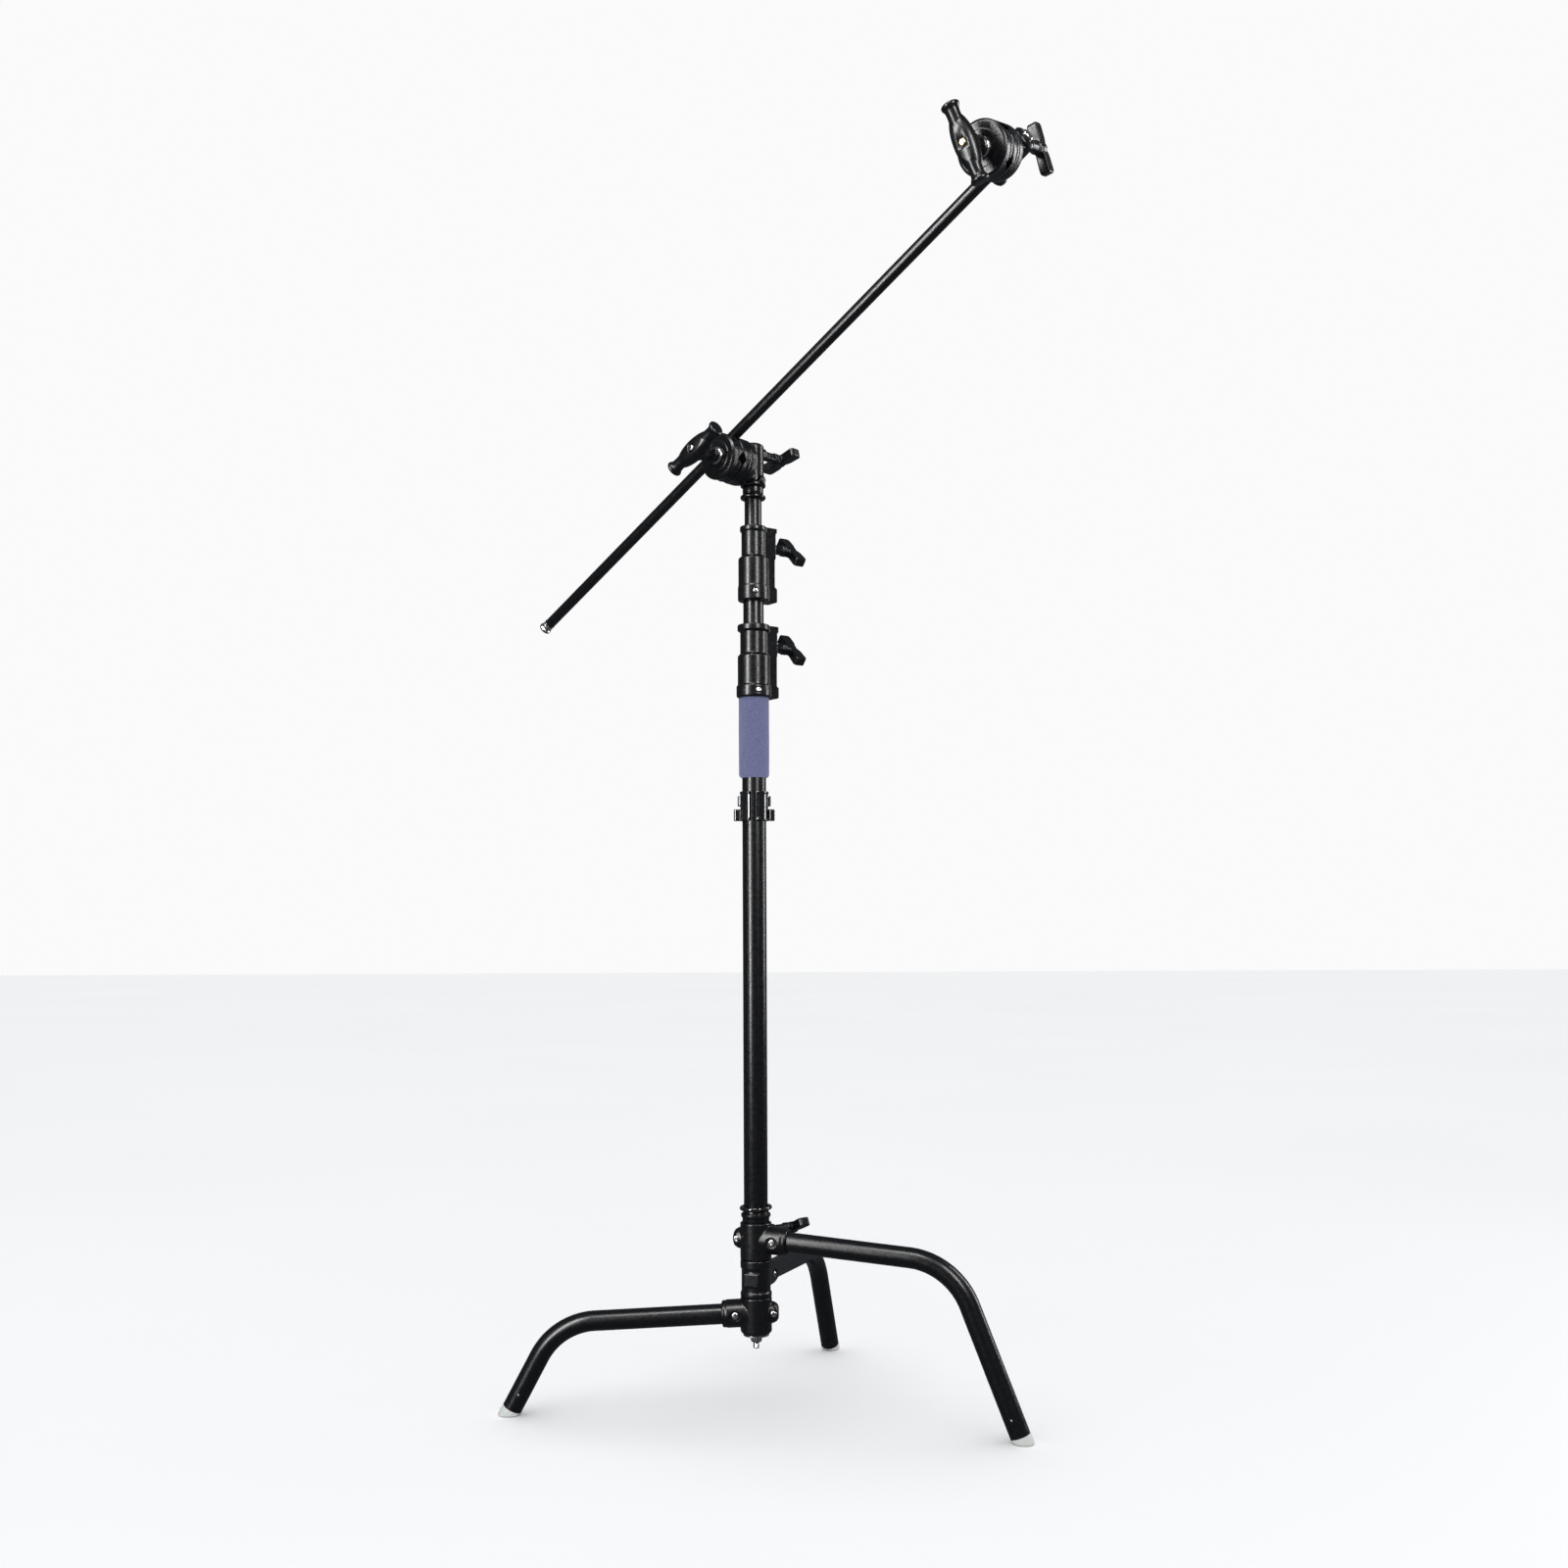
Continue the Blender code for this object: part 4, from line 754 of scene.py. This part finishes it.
def column(stand):
    """The base tube with its foot plug, ring, sleeve and clip, and the two risers."""
    inner = BASE_TUBE_R - BASE_TUBE_WALL
    deliver(pipe("tube", BASE_TUBE_R, inner, BASE_TUBE_Z, stand), "base_tube")
    deliver(lathe("plug", [(12.2 * MM, 150 * MM), (12.2 * MM, 262 * MM), (11.2 * MM, 264 * MM),
                           (11.2 * MM, 276 * MM), (12.2 * MM, 278 * MM), (12.2 * MM, 287.4 * MM),
                           (inner - GAP, 288.6 * MM), (inner - GAP, 305 * MM)], stand), "column_plug")
    section = 3.0 * MM
    steps = 16
    tilt = stand @ Matrix.Translation((0, 0, 306.4 * MM)) @ Matrix.Rotation(radians(-2), 4, "Y")
    turns = [2 * pi * k / steps for k in range(steps)]
    rings = [circle(20.9 * MM + section * cos(t), section * sin(t), ROUND) for t in turns]
    deliver(loft("ring", rings, tilt, tube=True), "column_ring")
    sleeve(stand)
    clip_ring(stand)
    levels = ((1160, 23.2, 36.5), (1159, 23.6, 37), (1151.5, 23.6, 37), (1150, 19.6, 35),
              (1118, 19.6, 35), (1114, 23.4, 34), (1072, 23.4, 34), (1070, 25.4, 37),
              (1055.5, 25.4, 37), (1054, 24.2, 36))
    bores = ((1054, 17.9), (1112.5, 17.9), (1112.5, 15.35), (1160, 15.35))
    casting("casting_2", stand, [[v * MM for v in row] for row in levels],
            [[v * MM for v in row] for row in bores], KNOB_2_Z, radians(42),
            (radians(-72), 1063 * MM, 25.4 * MM, 18.3 * MM))
    deliver(pipe("tube", RISER_2_R, RISER_2_R - RISER_2_WALL, RISER_2_Z, stand), "riser_2")
    deliver(pipe("bush", inner - GAP, RISER_2_R + 0.15 * MM, (RISER_2_Z[0], RISER_2_Z[0] + 40 * MM), stand),
            "riser_2_bush")
    levels = ((1304, 18.9, 34.5), (1303, 19.4, 35), (1297.5, 19.4, 35), (1296, 17.3, 33),
              (1260.5, 17.3, 33), (1257, 21.9, 31), (1218, 21.9, 31), (1215, 22.8, 35),
              (1196.5, 22.8, 35), (1195, 21.6, 34))
    bores = ((1195, 15.35), (1255.5, 15.35), (1255.5, 12.85), (1304, 12.85))
    casting("casting_1", stand, [[v * MM for v in row] for row in levels],
            [[v * MM for v in row] for row in bores], KNOB_1_Z, radians(40),
            (radians(-81), 1207 * MM, 22.8 * MM, 15.8 * MM))
    deliver(pipe("tube", RISER_3_R, RISER_3_R - RISER_3_WALL, RISER_3_Z, stand), "riser_3")
    deliver(pipe("bush", RISER_2_R - RISER_2_WALL - 0.2 * MM, RISER_3_R + 0.15 * MM,
                 (RISER_3_Z[0], RISER_3_Z[0] + 40 * MM), stand), "riser_3_bush")
    low, high = SPIGOT_Z
    plug = RISER_3_R - RISER_3_WALL - GAP
    deliver(lathe("spigot", [
        (plug, 1318 * MM), (plug, low), (17.2 * MM, low), (18.5 * MM, low + 1.5 * MM),
        (18.5 * MM, low + 4 * MM), (16.5 * MM, low + 6 * MM), (14.2 * MM, low + 8 * MM),
        (15.2 * MM, low + 9.5 * MM), (15.2 * MM, high - MM), (14.4 * MM, high), (PIN_R, high),
        (PIN_R, high + 10 * MM), (PIN_R - MM, high + 12 * MM), (PIN_R - MM, high + 26 * MM),
        (PIN_R, high + 28 * MM), (PIN_R, high + PIN_HEIGHT - 2 * MM), (PIN_R - MM, high + PIN_HEIGHT)],
        stand, edge=0.6 * MM), "top_spigot")


# ---------------------------------------------------------------- grip heads and arm

def groove(offset, face, depth, angle, place):
    """A V-shaped cutter along a line across a plate, its point at depth behind the face."""
    reach = 45 * MM
    sign = 1 if depth > 0 else -1
    wide = abs(depth) + 2 * MM
    rings = [[(face - depth, offset, s), (face + sign * 2 * MM, offset + wide, s),
              (face + sign * 2 * MM, offset - wide, s)] for s in (-reach, reach)]
    return loft("groove", rings, place @ Matrix.Rotation(angle, 4, "X"))


def ticks(place, face):
    """A ring of plain engraved index marks, as one cutter, every third one longer."""
    marks = []
    count = 36
    for k in range(count):
        inner = (25.6 if k % 3 else 23.6) * MM
        spot = place @ Matrix.Rotation(2 * pi * k / count, 4, "X")
        marks.append(box("mark", (face - 0.35 * MM, -0.42 * MM, inner),
                         (face + MM, 0.42 * MM, 28.4 * MM), spot))
    return joined("ticks", marks)


def plate(node, profile, place, cuts):
    """A round clamping plate about the head's X axis with grooves and a bolt hole."""
    out = place @ along((1, 0, 0))
    body = lathe("plate", profile, out, edge=0.6 * MM, count=96)
    middle = (profile[0][1] + profile[-1][1]) / 2
    span = abs(profile[-1][1] - profile[0][1])
    hole = lathe("hole", [(BOLT_HOLE, middle - span), (BOLT_HOLE, middle + span)], out, count=ROUND_SMALL)
    deliver(cut(body, cuts + [hole]), node)


def handle(number, place):
    """The clamping handle: a lipped bar with a flat facet, its conical hub and its screw."""
    out = place @ along((1, 0, 0))
    washer_high = WASHER_X[1]
    lips = [(6.4, 49), (9.6, 48.6), (11.4, 47), (11.4, 44.8), (8.9, 40.5), (8.5, 36), (8.8, 20)]
    profile = [(r * MM, -y * MM) for r, y in lips] + [(r * MM, y * MM) for r, y in reversed(lips)]
    bar = lathe("bar", profile, place @ along((0, 1, 0), (BAR_X - 1.4 * MM, 0, 0)), edge=0.9 * MM)
    leaf = lathe("leaf", [(sin(pi * k / 24), -cos(pi * k / 24)) for k in range(1, 24)],
                 place @ Matrix.Translation((BAR_X - 3 * MM, 0, 0))
                 @ Matrix.Diagonal((13 * MM, 38 * MM, 15 * MM, 1)), edge=0)
    cone = lathe("cone", [(11.5 * MM, washer_high + 0.5 * MM), (13.5 * MM, washer_high + 2.4 * MM),
                          (13.5 * MM, washer_high + 4.4 * MM), (11.2 * MM, washer_high + 6.4 * MM),
                          (11.4 * MM, 101 * MM), (15 * MM, 114 * MM), (9 * MM, 122 * MM)], out, edge=0.8 * MM)
    body = cast("handle", [bar, leaf, cone], 0.5 * MM, 8)
    face = BAR_X + BAR_R
    flat = box("flat", (face - 2.5 * MM, -30 * MM, -16 * MM), (face + 6 * MM, 30 * MM, 16 * MM), place)
    cut(body, [flat,
               lathe("bore", [(BOLT_HOLE, washer_high - MM), (BOLT_HOLE, 112 * MM)], out,
                     count=ROUND_SMALL),
               lathe("hole", [(2.9 * MM, 111.5 * MM), (2.9 * MM, face)], out, count=ROUND_SMALL),
               lathe("recess", [(5.2 * MM, face - 4.2 * MM), (5.2 * MM, face - 3.2 * MM),
                                (6.6 * MM, face - 1.8 * MM)], out, count=ROUND_SMALL)])
    tag = "_" + str(number)
    deliver(body, "handle" + tag, sharp=CAST_SHARP)
    screw("handle_screw" + tag, out, 111.9 * MM, face - 4.0 * MM, 4.4 * MM,
          look=warm_steel if number == 2 else None)


def bracket(number, place):
    """The head's casting: receiver, web, disc with a rolled rim, knob boss and index pin."""
    out, back = place @ along((1, 0, 0)), place @ along((-1, 0, 0), (0, 0, HEAD_KNOB_Z))
    low, high = RECEIVER_Z
    parts = [lathe("receiver", [(RECEIVER_R + 1.5 * MM, low), (RECEIVER_R + 2.5 * MM, low + MM),
                                (RECEIVER_R + 2.5 * MM, low + 5 * MM), (RECEIVER_R, low + 7 * MM),
                                (RECEIVER_R, high - 3 * MM), (RECEIVER_R - 4 * MM, high)], place, edge=MM),
             lathe("disc", [(PLATE_R - 5 * MM, DISC_X[0]), (PLATE_R - 0.8 * MM, DISC_X[0] + 5 * MM),
                            (PLATE_R - 0.8 * MM, DISC_X[0] + 8 * MM), (PLATE_R, DISC_X[0] + 9 * MM),
                            (PLATE_R, DISC_X[1] - 0.8 * MM), (PLATE_R - 0.8 * MM, DISC_X[1])], out, count=96),
             box("web", (MM, -13 * MM, -22 * MM), (24 * MM, 13 * MM, 26 * MM), place),
             lathe("boss", [(9.5 * MM, 8 * MM), (9.5 * MM, HEAD_BOSS - 1.5 * MM), (8 * MM, HEAD_BOSS)], back),
             lathe("stop", [(6.6 * MM, 9 * MM), (6.6 * MM, 19.5 * MM), (4.5 * MM, 21.5 * MM)],
                   place @ along((0, 1, 0), (0, 0, low + 8 * MM)), edge=MM)]
    body = cast("bracket", parts, 0.55 * MM, 9)
    cut(body, [lathe("bore", [(RECEIVER_BORE + MM, low - MM), (RECEIVER_BORE, low + MM),
                              (RECEIVER_BORE, high - MM), (RECEIVER_BORE + MM, high + MM)], place),
               lathe("stud_hole", [(STUD_R + GAP, 6 * MM), (STUD_R + GAP, 25 * MM)], back, count=ROUND_SMALL),
               lathe("bolt_hole", [(BOLT_HOLE, 13.4 * MM), (BOLT_HOLE, 40 * MM)], out, count=ROUND_SMALL)])
    deliver(body, "bracket_" + str(number), sharp=CAST_SHARP)


def grip_head(number, place, jaw_turn, bar_turn, knob_roll):
    """Bracket, two plates, bolt, washer, handle and knob of a grip head."""
    tag = "_" + str(number)
    out = place @ along((1, 0, 0))
    bracket(number, place)
    slack = (FRONT_X[0] - MIDDLE_X[1]) / 2
    deep, shallow = ARM_R * 2 ** 0.5 + GAP - slack, 8 * MM
    turn = jaw_turn - pi / 2
    low, high = MIDDLE_X
    rim = 0.9 * MM
    plate("middle_plate" + tag, [
        (PLATE_R - 0.8 * MM, low), (PLATE_R, low + 0.8 * MM), (PLATE_R, low + 5 * MM),
        (PLATE_R - rim, low + 6 * MM), (PLATE_R - rim, high - 5 * MM), (PLATE_R, high - 4 * MM),
        (PLATE_R, high - 1.2 * MM), (PLATE_R - 1.2 * MM, high)], place,
        [groove(-ARM_OFFSET, high, deep, turn, place), groove(ARM_OFFSET, high, shallow, turn, place)])
    low, high = FRONT_X
    plate("front_plate" + tag, [
        (PLATE_R - 1.2 * MM, low), (PLATE_R, low + 1.2 * MM), (PLATE_R, low + 5 * MM),
        (PLATE_R - rim, low + 6 * MM), (PLATE_R - rim, high - 7 * MM), (PLATE_R, high - 6 * MM),
        (PLATE_R, high - 3 * MM), (PLATE_R - 3 * MM, high - 0.6 * MM), (22 * MM, high - 0.6 * MM),
        (20.6 * MM, high)], place,
        [groove(-ARM_OFFSET, low, -deep, turn, place), groove(ARM_OFFSET, low, -shallow, turn, place),
         ticks(place, high - 0.6 * MM)])
    deliver(lathe("bolt", [(BOLT_R, 13.8 * MM), (BOLT_R, 111 * MM)], out), "clamp_bolt" + tag)
    low, high = WASHER_X
    deliver(lathe("washer", [(12.4 * MM, low), (13 * MM, low + 0.5 * MM), (13 * MM, low + 2 * MM),
                             (11.8 * MM, low + 4.4 * MM), (9 * MM, high - 0.6 * MM), (7 * MM, high),
                             (BOLT_HOLE, high), (BOLT_HOLE, low)], out, tube=True, edge=MM),
            "bearing_washer" + tag)
    handle(number, place @ Matrix.Rotation(bar_turn, 4, "X"))
    seat = place @ turned(pi, (0, 0, HEAD_KNOB_Z)) @ Matrix.Translation((HEAD_KNOB_REACH, 0, 0))
    knob("knob_head" + tag, seat @ Matrix.Rotation(knob_roll, 4, "X"), HEAD_KNOB_REACH - 8.8 * MM,
         HEAD_KNOB_REACH - HEAD_BOSS - MM)


def head_frames():
    """Matrices of head 1, of the arm's middle line and of head 2, in the stand's axes."""
    run = heading(ARM_HEADING)
    axis = Vector((0, 0, 1)).cross(run) * -1
    line = run * cos(ARM_RISE) + Vector((0, 0, sin(ARM_RISE)))
    up = axis.cross(line)
    centre = Vector((0, 0, HEAD_1_Z))
    level = Matrix((axis, Vector((0, 0, 1)).cross(axis), (0, 0, 1))).transposed().to_4x4()
    crossing = centre + axis * (FRONT_X[0] + MIDDLE_X[1]) / 2 + up * ARM_OFFSET
    arm = along(line, crossing - line * ARM_BELOW, axis)
    axis_2 = axis * cos(HEAD_2_ROLL) + line.cross(axis) * sin(HEAD_2_ROLL)
    seat = crossing + line * (ARM_LENGTH - ARM_BELOW - HEAD_2_SEAT)
    second = Matrix.Translation(seat) @ Matrix((axis_2, line.cross(axis_2), line)).transposed().to_4x4()
    return Matrix.Translation(centre) @ level, arm, second


def arm_and_heads(stand):
    """Both grip heads, the arm between them, its bright end and the tip at its lower end."""
    first, arm, second = (stand @ m for m in head_frames())
    grip_head(1, first, ARM_RISE, BAR_TURN[0], radians(-14))
    end = ARM_LENGTH - 7 * MM
    deliver(lathe("arm", [(ARM_R, end), (ARM_R, 15 * MM), (5.6 * MM, 15 * MM), (5.6 * MM, end)],
                  arm, tube=True, edge=0.5 * MM), "grip_arm")
    cap = lathe("arm_end", [(5.4 * MM, end - 12 * MM), (5.4 * MM, end + GAP), (7.9 * MM, end + GAP),
                            (7.9 * MM, ARM_LENGTH - 1.4 * MM), (6.4 * MM, ARM_LENGTH),
                            (2.6 * MM, ARM_LENGTH)],
                arm, edge=0.4 * MM)
    deliver(cap, "grip_arm", bright_steel, extra=True)
    deliver(lathe("tip", [(6.2 * MM, 0), (8.8 * MM, 0), (9.6 * MM, 0.9 * MM), (9.6 * MM, 3.6 * MM),
                          (8.6 * MM, 4.6 * MM), (7.2 * MM, 5.2 * MM), (7.2 * MM, 7.8 * MM),
                          (8.4 * MM, 8.8 * MM),
                          (8.4 * MM, 10.6 * MM), (7.9 * MM, 11.0 * MM), (7.9 * MM, 11.6 * MM),
                          (8.4 * MM, 12.0 * MM), (8.4 * MM, 14.6 * MM), (5.2 * MM, 14.6 * MM),
                          (5.2 * MM, 45 * MM)], arm, edge=0.35 * MM), "arm_tip")
    grip_head(2, second, GROOVE_TURN_2, BAR_TURN[1], radians(18))


# ---------------------------------------------------------------- floor, light, camera

WALL_GREY, ROOM_TINT, ROOM_STRENGTH = 0.96, (0.80, 0.88, 1.0), 0.12
SKY_POWER, SKY_SPREAD = 2.9, radians(100)
STRIPS = {  # place, width and height, watts
    "key": ((-1.75, -1.8, 1.5), (0.40, 2.6), 150),
    "front": ((1.3, -2.0, 2.1), (0.30, 1.4), 60),
    "side": ((2.4, 0.7, 1.5), (0.40, 2.2), 40),
    "top": ((-0.5, -1.6, 3.2), (1.0, 0.6), 60),
}
STRIP_AIM_Z = 0.95
EYE_RIGHT, EYE_BACK, EYE_HEIGHT, EYE_ROLL, EYE_SHIFT = 0.043, 2.300, 0.726, radians(0.23), 0.0875


def floor_and_light():
    """A pale floor and wall, a broad sky that lights without glinting, and tall strip
    lamps that show only as glints."""
    bpy.ops.mesh.primitive_plane_add(size=40, location=(0, 0, -0.0005))
    floor = bpy.context.object
    floor.name = "studio_floor"
    floor.data.materials.append(coat("pale_studio_floor", (0.93, 0.93, 0.93), 0.75,
                                     ((3, 0.0002), (40, 0.0001)), tint=0.01, tint_scale=0.6))
    world = bpy.data.worlds.new("studio")
    world.use_nodes = True
    tree = world.node_tree
    wall = tree.nodes["Background"]
    wall.inputs["Color"].default_value = (WALL_GREY, WALL_GREY, WALL_GREY, 1)
    wall.inputs["Strength"].default_value = 1.0
    room = tree.nodes.new("ShaderNodeBackground")
    room.inputs["Color"].default_value = (*ROOM_TINT, 1)
    room.inputs["Strength"].default_value = ROOM_STRENGTH
    eye, choice = tree.nodes.new("ShaderNodeLightPath"), tree.nodes.new("ShaderNodeMixShader")
    tree.links.new(eye.outputs["Is Camera Ray"], choice.inputs[0])
    tree.links.new(room.outputs[0], choice.inputs[1])
    tree.links.new(wall.outputs[0], choice.inputs[2])
    tree.links.new(choice.outputs[0], tree.nodes["World Output"].inputs["Surface"])
    bpy.context.scene.world = world
    bpy.context.scene.view_settings.view_transform = "Standard"
    sky = bpy.data.lights.new("sky", "SUN")
    sky.energy, sky.angle = SKY_POWER, SKY_SPREAD
    lamp = bpy.data.objects.new("sky", sky)
    bpy.context.collection.objects.link(lamp)
    lamp.visible_glossy = floor.visible_glossy = False
    aim = Vector((COLUMN_X, COLUMN_Y, STRIP_AIM_Z))
    for name, (spot, size, power) in STRIPS.items():
        data = bpy.data.lights.new(name, "AREA")
        data.shape, data.size, data.size_y, data.energy = "RECTANGLE", size[0], size[1], power
        lamp = bpy.data.objects.new(name, data)
        bpy.context.collection.objects.link(lamp)
        lamp.location = spot
        lamp.rotation_euler = (aim - Vector(spot)).to_track_quat("-Z", "Y").to_euler()
        lamp.visible_diffuse = False


def camera():
    """The eye stands in front of the column, level, a little right of it."""
    data = bpy.data.cameras.new("eye")
    data.sensor_width, data.lens = 36.0, 36.0
    data.shift_y = EYE_SHIFT
    made = bpy.data.objects.new("eye", data)
    bpy.context.collection.objects.link(made)
    made.location = (COLUMN_X + EYE_RIGHT, COLUMN_Y - EYE_BACK, EYE_HEIGHT)
    made.rotation_euler = (radians(90), EYE_ROLL, 0)
    bpy.context.scene.camera = made


STAND = Matrix.Translation((COLUMN_X, COLUMN_Y, 0))
base(STAND)
column(STAND)
arm_and_heads(STAND)
floor_and_light()
camera()
